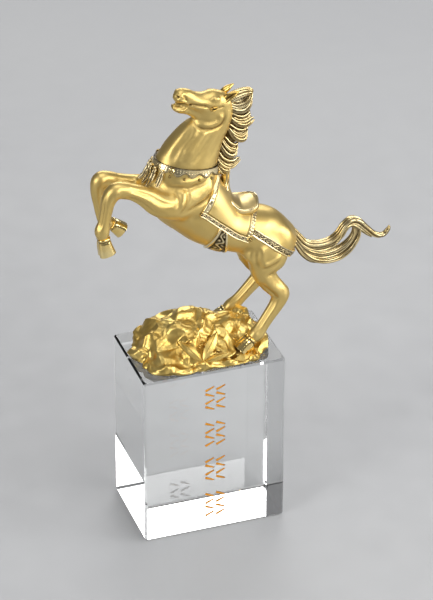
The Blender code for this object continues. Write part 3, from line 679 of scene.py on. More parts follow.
def neighbour_average(mesh, values, rounds=1):
    """Values at the points, each blended with its neighbours' a number of times."""
    edges = np.empty(len(mesh.edges) * 2, int)
    mesh.edges.foreach_get("vertices", edges)
    first, second = edges.reshape(-1, 2).T
    count = np.bincount(edges, minlength=len(mesh.vertices)).astype(float)
    columns = values.reshape(len(mesh.vertices), -1)
    for _ in range(rounds):
        total = np.empty_like(columns)
        for column in range(columns.shape[1]):
            total[:, column] = np.bincount(first, columns[second, column], len(count))
            total[:, column] += np.bincount(second, columns[first, column], len(count))
        columns = total / np.maximum(count, 1)[:, None]
    return columns.reshape(values.shape)


def hollowness(mesh, rounds):
    """How hollow the surface is at each point, from 0 on a ridge to 1 in a crease."""
    points = points_of(mesh)
    away = neighbour_average(mesh, points, rounds) - points
    return np.einsum("ij,ij->i", away, normals_of(mesh))


def nearness(points, line, reach):
    """How far each point is from a smooth line, and how far along the line it comes nearest."""
    line = smoothed(line, 5)
    away = np.full(len(points), np.inf)
    share = np.zeros(len(points))
    low, high = line.min(axis=0) - reach, line.max(axis=0) + reach
    near = np.flatnonzero(((points > low) & (points < high)).all(axis=1))
    close = points[near]
    spans = len(line) - 1
    for span in range(spans):
        step = line[span + 1] - line[span]
        place = np.clip((close - line[span]) @ step / (step @ step), 0, 1)
        gap = np.linalg.norm(close - line[span] - place[:, None] * step, axis=1)
        better = gap < away[near]
        away[near[better]] = gap[better]
        share[near[better]] = (span + place[better]) / spans
    return away, share


def pressed(points, normals):
    """How far the skin rises at each point for its muscles and features, and how much shade is painted in its
    creases and hollows.
    """
    rise, shade = np.zeros(len(points)), np.zeros(len(points))
    sideways = np.clip(np.abs(normals[:, 1]) * 2.4 - 0.3, 0, 1)
    for width, height, dark, line in FLANK_CREASES:
        away, share = nearness(points[:, ::2], line, 3 * width)
        mark = np.exp(-((away / width) ** 2)) * sideways
        mark *= np.clip(4 * share, 0, 1) * np.clip(4 * (1 - share), 0, 1)
        rise += mark * height
        shade = np.maximum(shade, mark * dark)
    for legs, angle, (start, end), width, height in LEG_CREASES:
        for leg in legs:
            rings = curve(LEGS[leg], np.linspace(start, end, 12))
            _, side, normal = frames(rings[:, :3])
            outward = 1 if LEGS[leg][0][1] > 0 else -1
            for facing in (outward, -outward):
                turn = math.radians(angle) * facing
                line = rings[:, :3] + normal * rings[:, 3:4] * math.cos(turn)
                line = line + side * rings[:, 4:5] * math.sin(turn)
                away, share = nearness(points, line, 3 * width)
                mark = np.exp(-((away / width) ** 2))
                rise += mark * height * np.clip(4 * share, 0, 1) * np.clip(4 * (1 - share), 0, 1)
    for centre, half_sizes, depth, dark in HOLLOWS:
        for side in (-1, 1):
            away = (points - np.array(centre) * (1, side, 1)) / half_sizes
            mark = np.exp(-((away**2).sum(axis=1)))
            rise -= depth * mark
            shade = np.maximum(shade, np.clip(1.6 * mark - 0.3, 0, 1) * dark)
    return rise, shade


def skin_mesh():
    """The bare horse, without ears, hooves, hair or tack."""
    flesh_shape = Shape()
    for rows in (TRUNK, NECK, HEAD):
        add_loft(flesh_shape, in_plane(rows), sides=24)
    for rows in LEGS:
        add_loft(flesh_shape, rows)
    for centre, half_sizes, tilt in SWELLINGS:
        add_ball(flesh_shape, centre, half_sizes, tilt)
    flesh = fused("flesh", flesh_shape.mesh("flesh"), FLESH_VOXEL, FLESH_SMOOTH_STEPS)
    whole = Shape()
    for rows in (HEAD, JAW):
        add_loft(whole, in_plane(rows), sides=24, steps=6)
    for rows in LEGS:
        add_loft(whole, rows[BARE_FROM:], sides=24, steps=6)
    for centre, half_sizes, tilt in FACE:
        add_ball(whole, centre, half_sizes, tilt)
    both = bmesh.new()
    both.from_mesh(flesh)
    both.from_mesh(whole.mesh("bone"))
    mesh = bpy.data.meshes.new("body")
    both.to_mesh(mesh)
    both.free()
    skin = fused("skin", mesh, SKIN_VOXEL, SKIN_SMOOTH_STEPS)
    refine_head(skin)
    points, normals = points_of(skin), normals_of(skin)
    rise, shade = pressed(points, normals)
    set_points(skin, points + normals * rise[:, None])
    # Shade is painted into the creases and hollows of the skin
    hollow = neighbour_average(skin, hollowness(skin, 3), 3)
    set_mark(skin, "painted_shade", shade + np.clip(hollow * 5, 0, 0.35))
    set_mark(skin, "satin", np.ones(len(points)))
    return skin


def refine_head(skin):
    """Halves the facets of the head, for its features."""
    (low_x, low_z), (high_x, high_z) = HEAD_BOX
    shape = bmesh.new()
    shape.from_mesh(skin)
    chosen = [
        face
        for face in shape.faces
        if all(low_x < v.co.x < high_x and low_z < v.co.z < high_z for v in face.verts)
    ]
    edges = list({edge for face in chosen for edge in face.edges})
    fresh = bmesh.ops.subdivide_edges(shape, edges=edges, cuts=1, use_grid_fill=True)
    corners = list({item for item in fresh["geom"] if isinstance(item, bmesh.types.BMVert)})
    axes = {"use_axis_x": True, "use_axis_y": True, "use_axis_z": True}
    for _ in range(2):
        bmesh.ops.smooth_vert(shape, verts=corners, factor=0.5, **axes)
    shape.to_mesh(skin)
    shape.free()


def tree_of(mesh):
    return BVHTree.FromPolygons([v.co for v in mesh.vertices], [face.vertices for face in mesh.polygons])


def ears():
    """Pinned-back ears, each a leaf with a hollow along its outer side that is painted in shade."""
    shape = Shape()
    for side in (-1, 1):
        rows = smoothed([(x, side * y, z, depth, width) for x, y, z, depth, width in EAR], 8)
        _, across, normal = frames(rows[:, :3])
        angles = 2 * np.pi * np.arange(28) / 28
        outward = np.cos(angles - math.radians(side * 62))
        along = np.linspace(0, 1, len(rows))[:, None]
        hollow = np.exp(-((1 - outward) / 0.16)) * np.sin(np.pi * np.clip(0.1 + along, 0, 1)) ** 0.6
        size = 1 - 0.75 * hollow
        grid = rows[:, None, :3] + normal[:, None] * (np.cos(angles) * rows[:, 3:4] * size)[..., None]
        grid = grid + across[:, None] * (np.sin(angles) * rows[:, 4:5] * size)[..., None]
        index = shape.add_grid(grid, np.clip(hollow * 1.2, 0, 1), around=True)
        shape.add_fan(index[0], rows[0, :3], flip=True)
        shape.add_fan(index[-1], rows[-1, :3] + (0.4, 0, 0.2))
    return shape


def eyes():
    """Eyeballs with a lid above and below each."""
    balls, lids = Shape(), Shape()
    for side in (-1, 1):
        centre = np.array(EYE_CENTRE) * (1, side, 1)
        # The eyeballs are painted in full shade
        add_ball(balls, centre, (EYE_RADIUS * 1.15, EYE_RADIUS * 0.75, EYE_RADIUS * 0.8), painted_shade=1.0)
        for above, bow in ((1, 1.0), (-1, 0.75)):
            turns = np.linspace(-1, 1, 17)
            x = centre[0] + 2.1 * turns
            z = centre[2] + above * bow * (1 - turns**2) + 0.25 * turns
            y = centre[1] + side * (1.25 - 0.55 * turns**2)
            line = np.stack([x, y, z], axis=1)
            add_tube(lids, line, LID_RADIUS * (1.1 - 0.75 * turns**2), sides=10)
    return balls, lids


def hooves():
    shape = Shape()
    for rows in HOOVES:
        rings = smoothed(rows, 12)
        along = np.linspace(0, 1, len(rings))
        growth = 1 + 0.004 * np.cos(2 * np.pi * 6 * along)
        coronet = 1 + 0.09 * ripple(along, 0.06, 0.07) - 0.05 * ripple(along, 0.2, 0.06)
        rings[:, 3:5] *= (growth * coronet)[:, None]
        _, side, normal = frames(rings[:, :3])
        angles = 2 * np.pi * np.arange(40) / 40
        cleft = 1 - 0.12 * ripple(angles, np.pi, 0.22)
        waves = np.cos(angles), np.sin(angles)
        front, flank = (np.sign(wave) * np.abs(wave) ** HOOF_SQUARENESS for wave in waves)
        grid = rings[:, None, :3] + normal[:, None] * (front * rings[:, 3:4] * cleft)[..., None]
        grid = grid + side[:, None] * (flank * rings[:, 4:5] * cleft)[..., None]
        # Shade is painted in a band beside the coronet's groove
        band = ripple(along, 0.17, 0.05)[:, None] * np.ones(40)
        index = shape.add_grid(grid, band, around=True)
        shape.add_fan(index[0], rings[0, :3], flip=True)
        centre = rings[-1, :3]
        inward = unit(rings[-4, :3] - centre)
        wall = centre + (grid[-1] - centre) * 0.8
        sole = centre + (grid[-1] - centre) * 0.72 + inward * 0.7
        rows_of_sole = np.stack([grid[-1], wall, sole])
        # The sole underneath is painted in shade
        index = shape.add_grid(rows_of_sole, np.array([[0.0], [0.1], [0.9]]), around=True)
        shape.add_fan(index[-1], centre + inward * 0.9, painted_shade=0.8)
    return shape


def add_lock(shape, line, half, sway, flutes, **look):
    """A fluted lock of hair, fattest near its middle and painted with shade beneath, along a line seen from
    the side.
    """
    line = np.array(line, float)
    along = np.linspace(0, 1, len(line))
    size = half * (0.22 + 0.78 * np.sin(np.pi * np.clip(0.14 + 0.86 * along, 0, 1)) ** 0.6)
    across = sway * (0.4 + 0.6 * np.sin(np.pi * along))
    rows = np.stack([line[:, 0], across, line[:, 1], size, 0.85 * size], axis=1)
    add_loft(shape, rows, flutes=flutes, under=0.85, **look)


def mane():
    """Fluted crescents in clumps that leave the crest, droop and flick up at their tips."""
    shape = Shape()
    core = [(x, z, 3.2, 2.0) for x, z in MANE_CORE]
    # The core behind the locks is painted in full shade, so the gaps between locks look dark
    add_loft(shape, in_plane(core), sides=16, shade_share=1.0)
    half, line = MANE_TUFT
    add_lock(shape, line, half, 0, 9, sides=54, steps=8, depth=0.3, twist=0.3)
    for index, (half, line) in enumerate(MANE_LOCKS):
        for side, lift in ((-1, 0), (1, 0), (0, 0.8)):
            lifted = [(x, z + lift) for x, z in line]
            sway = side * MANE_SPREAD
            look = {"steps": 9, "twist": 0.1 * side, "phase": 0.7 * index, **STRAND_LOOK}
            add_lock(shape, lifted, half, sway, 3, **look)
    return shape


def tail():
    """Fluted strands that part, cross and gather again."""
    shape = Shape()
    for index, (half, line) in enumerate(TAIL_STRANDS):
        for side in (-1, 1):
            root = (TAIL_ROOT[0], TAIL_ROOT[1] - 0.9 * index)
            sway = side * TAIL_SPREAD * (0.7 + 0.3 * math.cos(2.4 * index))
            look = {"steps": 7, "twist": 0.6 * side, "phase": index, **STRAND_LOOK}
            add_lock(shape, [root, *line], half, sway, 3, **look)
    return shape


def wrap(tree, centres, directions):
    """A grid of points on the skin, where rays drawn in from outside first meet it."""
    reach = 60
    grid = np.array(centres, float)
    for place in np.ndindex(grid.shape[:2]):
        centre, direction = Vector(centres[place]), Vector(directions[place])
        point = tree.ray_cast(centre + direction * reach, -direction, reach)[0]
        if point is not None:
            grid[place] = point
    return grid


def softened(grid, rounds, around=False):
    """A grid with each point drawn towards the middle of its neighbours."""
    for _ in range(rounds):
        if around:
            padded = np.concatenate([grid[-1:], grid, grid[:1]])
        else:
            before, after = 2 * grid[:1] - grid[1:2], 2 * grid[-1:] - grid[-2:-1]
            padded = np.concatenate([before, grid, after])
        down = (padded[:-2] + padded[2:]) / 2
        before, after = 2 * grid[:, :1] - grid[:, 1:2], 2 * grid[:, -1:] - grid[:, -2:-1]
        padded = np.concatenate([before, grid, after], axis=1)
        across = (padded[:, :-2] + padded[:, 2:]) / 2
        grid = (2 * grid + down + across) / 4
    return grid


def outward_normals(grid, directions, around=False):
    if around:
        padded = np.concatenate([grid[-1:], grid, grid[:1]])
        down = (padded[2:] - padded[:-2]) / 2
    else:
        down = np.gradient(grid, axis=0)
    normals = unit(np.cross(down, np.gradient(grid, axis=1)))
    facing = np.sign((normals * directions).sum(axis=-1, keepdims=True))
    return normals * facing


def lengths(grid, axis):
    """Running lengths over a grid along one axis."""
    steps = np.linalg.norm(np.diff(grid, axis=axis), axis=-1)
    start = np.zeros_like(np.take(steps, [0], axis=axis))
    return np.concatenate([start, np.cumsum(steps, axis=axis)], axis=axis)


def add_plate(shape, grid, normals, height, painted_shade, around=False, satin=None):
    """A raised plate over a grid on the skin, whose edges turn down into it."""
    sunk = -0.8
    outer = grid + normals * height[..., None]
    inner = grid + normals * sunk
    outer = np.concatenate([inner[:, :1], outer, inner[:, -1:]], axis=1)
    inner = np.concatenate([inner[:, :1], inner, inner[:, -1:]], axis=1)
    satin = np.pad(np.zeros(height.shape) if satin is None else satin, ((0, 0), (1, 1)), mode="edge")
    painted_shade = np.pad(painted_shade, ((0, 0), (1, 1)), mode="edge")
    if not around:
        outer = np.concatenate([inner[:1], outer, inner[-1:]])
        painted_shade = np.pad(painted_shade, ((1, 1), (0, 0)), mode="edge")
        satin = np.pad(satin, ((1, 1), (0, 0)), mode="edge")
        shape.add_grid(outer, painted_shade, satin=satin)
        return
    shape.add_grid(outer.swapaxes(0, 1), painted_shade.T, around=True, satin=satin.T)


def trunk_rays(places, angles):
    """Rays out of the trunk's spine, at angles in degrees from straight up."""
    here = curve(TRUNK, places)[..., :2]
    along = unit(curve(TRUNK, places + 0.1)[..., :2] - curve(TRUNK, places - 0.1)[..., :2])
    turn = np.radians(angles)
    directions = [-along[..., 1] * np.cos(turn), np.sin(turn), along[..., 0] * np.cos(turn)]
    directions = np.stack(directions, axis=-1)
    centres = np.stack([here[..., 0], np.zeros_like(turn), here[..., 1]], axis=-1)
    return centres, directions


def cloth_reach(places):
    """How far down the cloth hangs at places along the trunk, so that its lower edge runs straight."""
    share = np.clip((places - BLANKET_FRONT[1]) / (BLANKET_REAR[1] - BLANKET_FRONT[1]), 0, 1)
    return BLANKET_REACH - BLANKET_LIFT * np.sin(np.pi * share)


def trunk_grid(front, rear, columns, rows, belly=False):
    """Rays over the trunk's back or belly between two edges, as far as the cloth's lower edges."""
    low = cloth_reach(np.linspace(front[1], rear[1], columns))
    turn = np.linspace(-1, 1, rows)[:, None]
    angles = 180 + turn * (180 - low) if belly else turn * low
    share = np.abs(turn)
    start = front[0] + (front[1] - front[0]) * share**3
    end = rear[0] + (rear[1] - rear[0]) * share
    return trunk_rays(start + (end - start) * np.linspace(0, 1, columns), angles)


def ring_grid(centre, back, up, high, low, first, last, columns, rows):
    """Rays in a plane round a centre, between edges that lie high above and low below it."""
    back, up = np.array(back, float), np.array(up, float)
    across = np.cross(up, back)
    angles = np.radians(np.linspace(first, last, rows))[:, None]
    directions = back * np.cos(angles)[..., None] + across * np.sin(angles)[..., None]
    directions = np.broadcast_to(directions, (rows, columns, 3))
    centres = np.array(centre, float) + up * (high + (low - high) * np.linspace(0, 1, columns))[None, :, None]
    return np.broadcast_to(centres, (rows, columns, 3)), directions


def ripple(values, centre, width):
    """A bell of height 1 round one value."""
    return np.exp(-(((values - centre) / width) ** 2))


def scrolls(run, depth, pitch):
    """Raised leafy scrolls along a border, given how far along it and, from 0 to 1, across it."""
    swing = np.sin(2 * np.pi * run / pitch)
    stem = ripple(depth, 0.5 + 0.24 * swing, 0.09)
    berries = ripple((run / pitch * 2) % 1, 0.5, 0.16) * ripple(depth, 0.5 - 0.22 * swing, 0.11)
    return np.clip(stem + berries, 0, 1)


def banded(depth, width, run, pitch, bead):
    """Height and painted shade of an ornamented band: a bead on each edge and scrolls on a sunk ground, with
    the ground painted in shade.
    """
    edges = ripple(depth, bead, bead * 0.8) + ripple(depth, width - bead, bead * 0.8)
    inside = np.clip((depth - 2 * bead) / 0.15, 0, 1) * np.clip((width - 2 * bead - depth) / 0.15, 0, 1)
    across = np.clip((depth - 2 * bead) / (width - 4 * bead), 0, 1)
    raised = scrolls(run, across, pitch) * inside
    height = 0.25 * np.clip(edges, 0, 1) + 0.3 * raised - 0.1 * inside
    return height, np.clip(inside - 1.1 * raised, 0, 1)


def saddle_cloth(tree):
    """The cloth under the saddle, with a plain field and three kinds of border."""
    shape = Shape()
    centres, directions = trunk_grid(BLANKET_FRONT, BLANKET_REAR, 110, 380)
    grid = softened(wrap(tree, centres, directions), 12)
    normals = outward_normals(grid, directions)
    run = lengths(grid, 1)
    front, rear = run, run[:, -1:] - run
    fall = lengths(grid, 0)
    low = np.minimum(fall, fall[-1:] - fall)
    border = BLANKET_BORDER
    thick = TACK_THICKNESS
    height = np.full(run.shape, thick)
    # Shade is painted in the sunk dots, the seams, the band's sunk ground, between the rear border's speckles
    # and along the front edge
    painted_shade = np.zeros(run.shape)
    on_front = np.clip((border - front) / 0.2, 0, 1)
    on_rear = np.clip((border - rear) / 0.2, 0, 1)
    on_low = np.clip((border - low) / 0.2, 0, 1)
    height += 0.3 * np.maximum(np.maximum(on_front, on_rear), on_low)
    dots = ripple((fall / 3.1) % 1, 0.5, 0.13) * ripple(front, border * 0.55, 0.42) * (1 - on_low)
    height -= 0.35 * dots
    painted_shade = np.maximum(painted_shade, dots)
    seam = ripple(front, border + 0.25, 0.22) * (1 - on_low) * (1 - on_rear)
    seam = np.maximum(seam, ripple(rear, border + 0.25, 0.22) * (1 - on_low) * (1 - on_front))
    seam = np.maximum(seam, ripple(low, border + 0.25, 0.22))
    height -= 0.35 * seam
    painted_shade = np.maximum(painted_shade, 0.9 * seam)
    band_height, band_shade = banded(low, border, run, 5.2, 0.35)
    height += band_height * on_low
    painted_shade = np.maximum(painted_shade, band_shade * on_low)
    rear_only = on_rear * (1 - on_low)
    speckle = ripple((fall / 1.5) % 1, 0.5, 0.2) * ripple((rear / 1.4) % 1, 0.5, 0.22) * rear_only
    height += 0.3 * speckle
    painted_shade = np.maximum(painted_shade, 0.55 * rear_only * (1 - speckle) * ripple(rear, border / 2, 1.1))
    edge = np.minimum(np.minimum(front, rear), low)
    height -= 0.5 * np.exp(-edge / 0.25)
    front_edge_shade = ripple(front, 0.4, 0.2) * (1 - on_low)
    painted_shade = np.maximum(painted_shade, 0.6 * front_edge_shade)
    field = 1 - np.maximum(np.maximum(on_front, on_rear), on_low)
    add_plate(shape, grid, normals, height, painted_shade, satin=field)
    return shape


def girth(tree):
    shape = Shape()
    centres, directions = trunk_grid(GIRTH_REAR[::-1], GIRTH_FRONT[::-1], 40, 260, belly=True)
    grid = softened(wrap(tree, centres, directions), 10)
    normals = outward_normals(grid, directions)
    across = lengths(grid, 1)
    width = across[:, -1:]
    height, painted_shade = banded(across, width, lengths(grid, 0), 6, 0.6)
    add_plate(shape, grid, normals, 0.95 * TACK_THICKNESS + height, painted_shade)
    return shape


def breeching(tree):
    shape = Shape()
    up = (-BREECHING_BACK[2], 0, BREECHING_BACK[0])
    half = BREECHING_HALF_DEPTH
    centres, directions = ring_grid(BREECHING_CENTRE, BREECHING_BACK, up, half, -half, -115, 115, 30, 420)
    grid = softened(wrap(tree, centres, directions), 10)
    normals = outward_normals(grid, directions)
    across = lengths(grid, 1)
    height, painted_shade = banded(across, across[:, -1:], lengths(grid, 0), 4.6, 0.4)
    add_plate(shape, grid, normals, TACK_THICKNESS + height, painted_shade)
    return shape


def add_rosette(shape, centre, normal, radius):
    """A small boss of petals round a bead, lying on a surface."""
    normal = unit(np.array(normal, float))
    side = unit(np.cross(normal, (0, 0, 1)))
    up = np.cross(side, normal)
    sides, rings = 40, 10
    angles = 2 * np.pi * np.arange(sides) / sides
    out = np.linspace(1, 0.04, rings)[:, None]
    petals = 0.5 + 0.5 * np.cos(6 * angles)
    reach = radius * out * (0.86 + 0.14 * petals)
    lift = 0.75 * (1 - out**2) ** 0.5 + 0.3 * petals * np.sin(np.pi * out)
    lift = lift - 0.35 * ripple(out, 0.38, 0.09)
    grid = centre + side * (reach * np.cos(angles))[..., None] + up * (reach * np.sin(angles))[..., None]
    grid = grid + normal * (lift * radius * 0.7)[..., None]
    # Shade is painted between the petals and in the ring round the bead
    painted_shade = np.clip((1 - petals) * np.sin(np.pi * out) + ripple(out, 0.38, 0.1), 0, 1)
    index = shape.add_grid(grid, painted_shade, around=True)
    shape.add_fan(index[-1], grid[-1].mean(axis=0) + normal * 0.05)


def breast_collar(tree):
    """A polished band with a toothed lower edge, and the studs that hang in its notches."""
    band, studs = Shape(), Shape()
    forward = (-COLLAR_UP[2], 0, COLLAR_UP[0])
    low = -(COLLAR_DEPTH + COLLAR_TOOTH + 1.2)
    centres, directions = ring_grid(COLLAR_CENTRE, forward, COLLAR_UP, 0, low, 0, 359.3, 40, 514)
    grid = softened(wrap(tree, centres, directions), 6, around=True)
    normals = outward_normals(grid, directions, around=True)
    run = lengths(grid, 0)[:, :1]
    run = np.minimum(run, run[-1] - run)
    across = lengths(grid, 1)
    edge = COLLAR_DEPTH + COLLAR_TOOTH * np.cos(2 * np.pi * run / COLLAR_PITCH)
    inside = np.clip((edge - across) / 0.3, 0, 1)
    height = (TACK_THICKNESS + 0.8) * inside - 0.8
    height = height - 0.3 * ripple(across, edge - 0.75, 0.2) * inside
    # Shade is painted along the band's top and toothed lower edges and in the groove above the teeth
    painted_shade = ripple(across, 0, 0.35) + ripple(across, edge, 0.45) + 0.9 * ripple(across, edge - 0.75, 0.26)
    dots = ripple((run / 1.5) % 1, 0.5, 0.16) * (ripple(across, 1.1, 0.22) + ripple(across, 2.2, 0.22))
    height = height - 0.15 * dots
    add_plate(band, grid, normals, height, np.clip(painted_shade, 0, 1), around=True)
    notches = int(run.max() / COLLAR_PITCH)
    for notch in range(notches + 1):
        wanted = (notch + 0.5) * COLLAR_PITCH
        for half in (slice(0, len(run) // 2), slice(len(run) // 2, None)):
            row = half.start + int(np.abs(run[half, 0] - wanted).argmin())
            if abs(run[row, 0] - wanted) > 0.4:
                continue
            column = int(np.abs(across[row] - (COLLAR_DEPTH + 1.6)).argmin())
            centre = grid[row, column] + normals[row, column] * 0.3
            # The studs and their links are painted in shade
            add_ball(studs, centre, (STUD_RADIUS,) * 3, rows=12, sides=18, painted_shade=0.75)
            add_tube(
                studs,
                [centre + normals[row, column] * 0.2, grid[row, column - 5] + normals[row, column - 5] * 0.5],
                0.3,
                sides=8,
                painted_shade=0.8,
            )
    return band, studs


def plumes(tree):
    """Fluted leaves that hang down the breast from the collar, curled at their feet."""
    shape = Shape()
    forward, up = Vector((-COLLAR_UP[2], 0, COLLAR_UP[0])), Vector(COLLAR_UP)
    for order, angle in enumerate(PLUME_ANGLES):
        turn = math.radians(angle)
        direction = forward * math.cos(turn) + Vector((0, math.sin(turn), 0))
        rows = []
        reach = None
        for share, size, proud in PLUME_RINGS:
            centre = Vector(COLLAR_CENTRE) - up * (PLUME_DROP + PLUME_LENGTH * share)
            point = tree.ray_cast(centre + direction * 60, -direction, 60)[0]
            out = (point - centre).length
            reach = out if reach is None else min(out, reach + PLUME_SPREAD)
            rows.append((*(centre + direction * (reach + proud)), size * 0.7, size * 0.85))
        add_loft(shape, rows, sides=30, steps=7, flutes=5, depth=0.42, phase=0.3 * order)
        knot = np.array(rows[0][:3]) + (-0.4, 0, 0.3)
        # The knot is lightly painted in shade
        add_ball(shape, knot, (PLUME_KNOT,) * 3, rows=12, sides=18, painted_shade=0.2)
    return shape


def saddle():
    """A dished seat with a rolled rim, a tall pommel post and an upright cantle."""
    seat, rim = Shape(), Shape()
    rows = smoothed(SADDLE, 10)
    along = unit(np.gradient(rows[:, :2], axis=0))
    up = np.stack([-along[:, 1], np.zeros(len(rows)), along[:, 0]], axis=1)
    across = np.linspace(-1, 1, 61)
    share = across**2
    x = rows[:, :1] + (rows[:, 3:4] - rows[:, :1]) * share
    z = rows[:, 1:2] + (rows[:, 4:5] - rows[:, 1:2]) * share
    top = np.stack([x, rows[:, 2:3] * across, z], axis=-1)
    under = top - up[:, None] * rows[:, None, 5:6]
    shell = np.concatenate([top, under[:, ::-1]], axis=1)
    line = np.clip((np.abs(across) - 0.86) / 0.05, 0, 1)
    sink = 0.25 * ripple(np.abs(across), 0.88, 0.03)
    shell[:, : len(across)] -= up[:, None] * sink[None, :, None]
    # Shade is painted in the line below the rim and on the seat's underside
    painted_shade = np.concatenate([0.5 * ripple(np.abs(across), 0.88, 0.03), 0.25 * line[::-1]])
    index = seat.add_grid(shell, np.broadcast_to(painted_shade, shell.shape[:2]), around=True, satin=SEAT_SATIN)
    seat.add_fan(index[0], shell[0].mean(axis=0), flip=True)
    seat.add_fan(index[-1], shell[-1].mean(axis=0))
    path = np.concatenate([top[:, 0], top[-1, 1:-1], top[::-1, -1], top[0, 1:-1][::-1]])
    path = np.concatenate([path, path[:1]])
    add_tube(rim, softened_line(path, 4), SADDLE_RIM, sides=12)
    return seat, rim


def softened_line(line, rounds):
    for _ in range(rounds):
        line = np.concatenate([line[:1], (line[:-2] + 2 * line[1:-1] + line[2:]) / 4, line[-1:]])
    return line


def rock_height(x, y):
    """The rock's top before its crags."""
    place = np.clip((x - ROCK_CENTRE[0]) / ROCK_HALF_LENGTH, -1, 1)
    ridge = curve([[height] for height in ROCK_RIDGE], (place + 1) / 2 * (len(ROCK_RIDGE) - 1))[..., 0]
    middle = ROCK_RIDGE_Y - ROCK_CENTRE[1]
    across = y - ROCK_RIDGE_Y
    away = np.where(across < 0, -across / (ROCK_HALF_WIDTH + middle), across / (ROCK_HALF_WIDTH - middle))
    height = ROCK_FOOT + ridge * (1 - np.minimum(1, away) ** 1.6)
    for hollow_x, hollow_y, depth, spread_x, spread_y in ROCK_HOLLOWS:
        away_x, away_y = (x - hollow_x) / spread_x, (y - hollow_y) / spread_y
        height = height - depth * np.exp(-(away_x**2) - away_y**2)
    return np.maximum(ROCK_FOOT, height)


def crag(place, size):
    """Creased facets, each leaning its own way."""
    heights = []
    for point in noise.voronoi(place / size)[1]:
        lean = noise.cell_vector(point * 7) - Vector((0.5, 0.5, 0.5))
        away = place / size - point
        heights.append(1.4 * lean.dot(away) - 0.9 * away.length)
    return 2 * max(heights) + 0.7


def rock_rim(angle):
    """How far the rock's foot reaches from its centre along x and y at an angle."""
    across, along = math.sin(angle), math.cos(angle)
    power = ROCK_SQUARENESS
    reach = (abs(along) ** power + abs(across) ** power) ** (-1 / power)
    reach *= ROCK_REACH + 0.1 * noise.noise(Vector((along, across, 0.3)) * 2.3)
    wander = 2 * noise.noise(Vector((along, across, 0.7)) * 2)
    lobes = abs(math.sin(ROCK_LOBES / 2 * angle + wander)) ** 0.6
    reach *= 1 - ROCK_SCALLOP * (1 - lobes)
    return reach * along * ROCK_HALF_LENGTH, reach * across * ROCK_HALF_WIDTH


def crumple(spot):
    """The rise of crumpled foil: leaning facets, broken by ridges that wander."""
    bend = Vector([noise.noise(spot / BEND_SIZE + Vector(shift)) for shift in BEND_SHIFTS]) * BEND_REACH
    rise = crag(spot + bend * 0.4, CRAG_SIZE) * CRAG_HEIGHT
    for size, height in CRUMPLES:
        rise += height * (0.45 - 2 * abs(noise.noise((spot + bend) / size)))
    return rise


def rock():
    """A crumpled rock on the block's top, rounded down to its foot."""
    rings, sides = ((120, 420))
    rims = np.array([rock_rim(angle) for angle in 2 * np.pi * np.arange(sides) / sides])
    out = np.sin(np.pi / 2 * np.arange(1, rings + 1) / rings)[:, None]
    tuck = 1 - ROCK_TUCK * np.clip((out - 0.9) / 0.1, 0, 1) ** 2
    x = ROCK_CENTRE[0] + rims[:, 0] * out * tuck
    y = ROCK_CENTRE[1] + rims[:, 1] * out * tuck
    z = rock_height(x, y) * (1 - out**8) ** 0.5
    z = z + ROCK_LIP * (ripple(out, 0.94, 0.05) - ripple(out, 0.84, 0.045))
    grid = np.stack([x, y, z], axis=-1)
    around = np.concatenate([grid[:, -1:], grid, grid[:, :1]], axis=1)
    normals = unit(np.cross(around[:, 2:] - around[:, :-2], np.gradient(grid, axis=0)))
    normals *= np.sign((normals * (grid - (*ROCK_CENTRE, -20))).sum(axis=-1, keepdims=True))
    fade = np.clip(z / 2, 0, 1)
    for place in np.ndindex(z.shape):
        grid[place] += normals[place] * crumple(Vector(grid[place])) * fade[place]
    grid = softened(grid.swapaxes(0, 1), 1, around=True).swapaxes(0, 1)
    grid[-1, :, 2] = 0
    grid[..., 2] = np.maximum(grid[..., 2], 0)
    shape = Shape()
    index = shape.add_grid(grid, 0.0, around=True)
    shape.add_fan(index[0], (*ROCK_CENTRE, grid[0, :, 2].mean()), flip=True)
    return shape


def leaves():
    """Pointed leaves folded along their midribs, lying in a V on the rock's front slope."""
    shape = Shape()
    for base, tip, half_width in LEAVES:
        base, tip = np.array(base, float), np.array(tip, float)
        along = unit(tip - base)
        facing = unit(np.array((0, -0.72, 0.7)) - along * (np.array((0, -0.72, 0.7)) @ along))
        side = np.cross(along, facing)
        u, v = np.linspace(0, 1, 60)[:, None], np.linspace(-1, 1, 41)
        width = half_width * np.sin(np.pi * np.clip(u, 0.01, 0.99)) ** 0.8 * (1.1 - 0.2 * u)
        line = base + (tip - base) * u
        line = line + facing * (1.3 * np.sin(np.pi * u))
        lift = 0.8 - 0.9 * np.abs(v) ** 1.3 + 0.15 * ripple(v, 0, 0.08)
        lift = lift * np.sin(np.pi * np.clip(u, 0, 1)) ** 0.5
        top = line[:, None] + side * (width * v)[..., None] + facing * lift[..., None]
        under = line[:, None] + side * (width * v * 0.96)[..., None] - facing * 1.6
        # Shade is painted along the midrib and on the underside
        painted_shade = 0.5 * ripple(np.abs(v), 0.14, 0.06) * np.ones_like(u)
        shell = np.concatenate([top, under[:, ::-1]], axis=1)
        painted_shade = np.concatenate([painted_shade, np.full(painted_shade.shape, 0.4)], axis=1)
        index = shape.add_grid(shell, painted_shade, around=True)
        shape.add_fan(index[0], base, flip=True)
        shape.add_fan(index[-1], tip)
    return shape


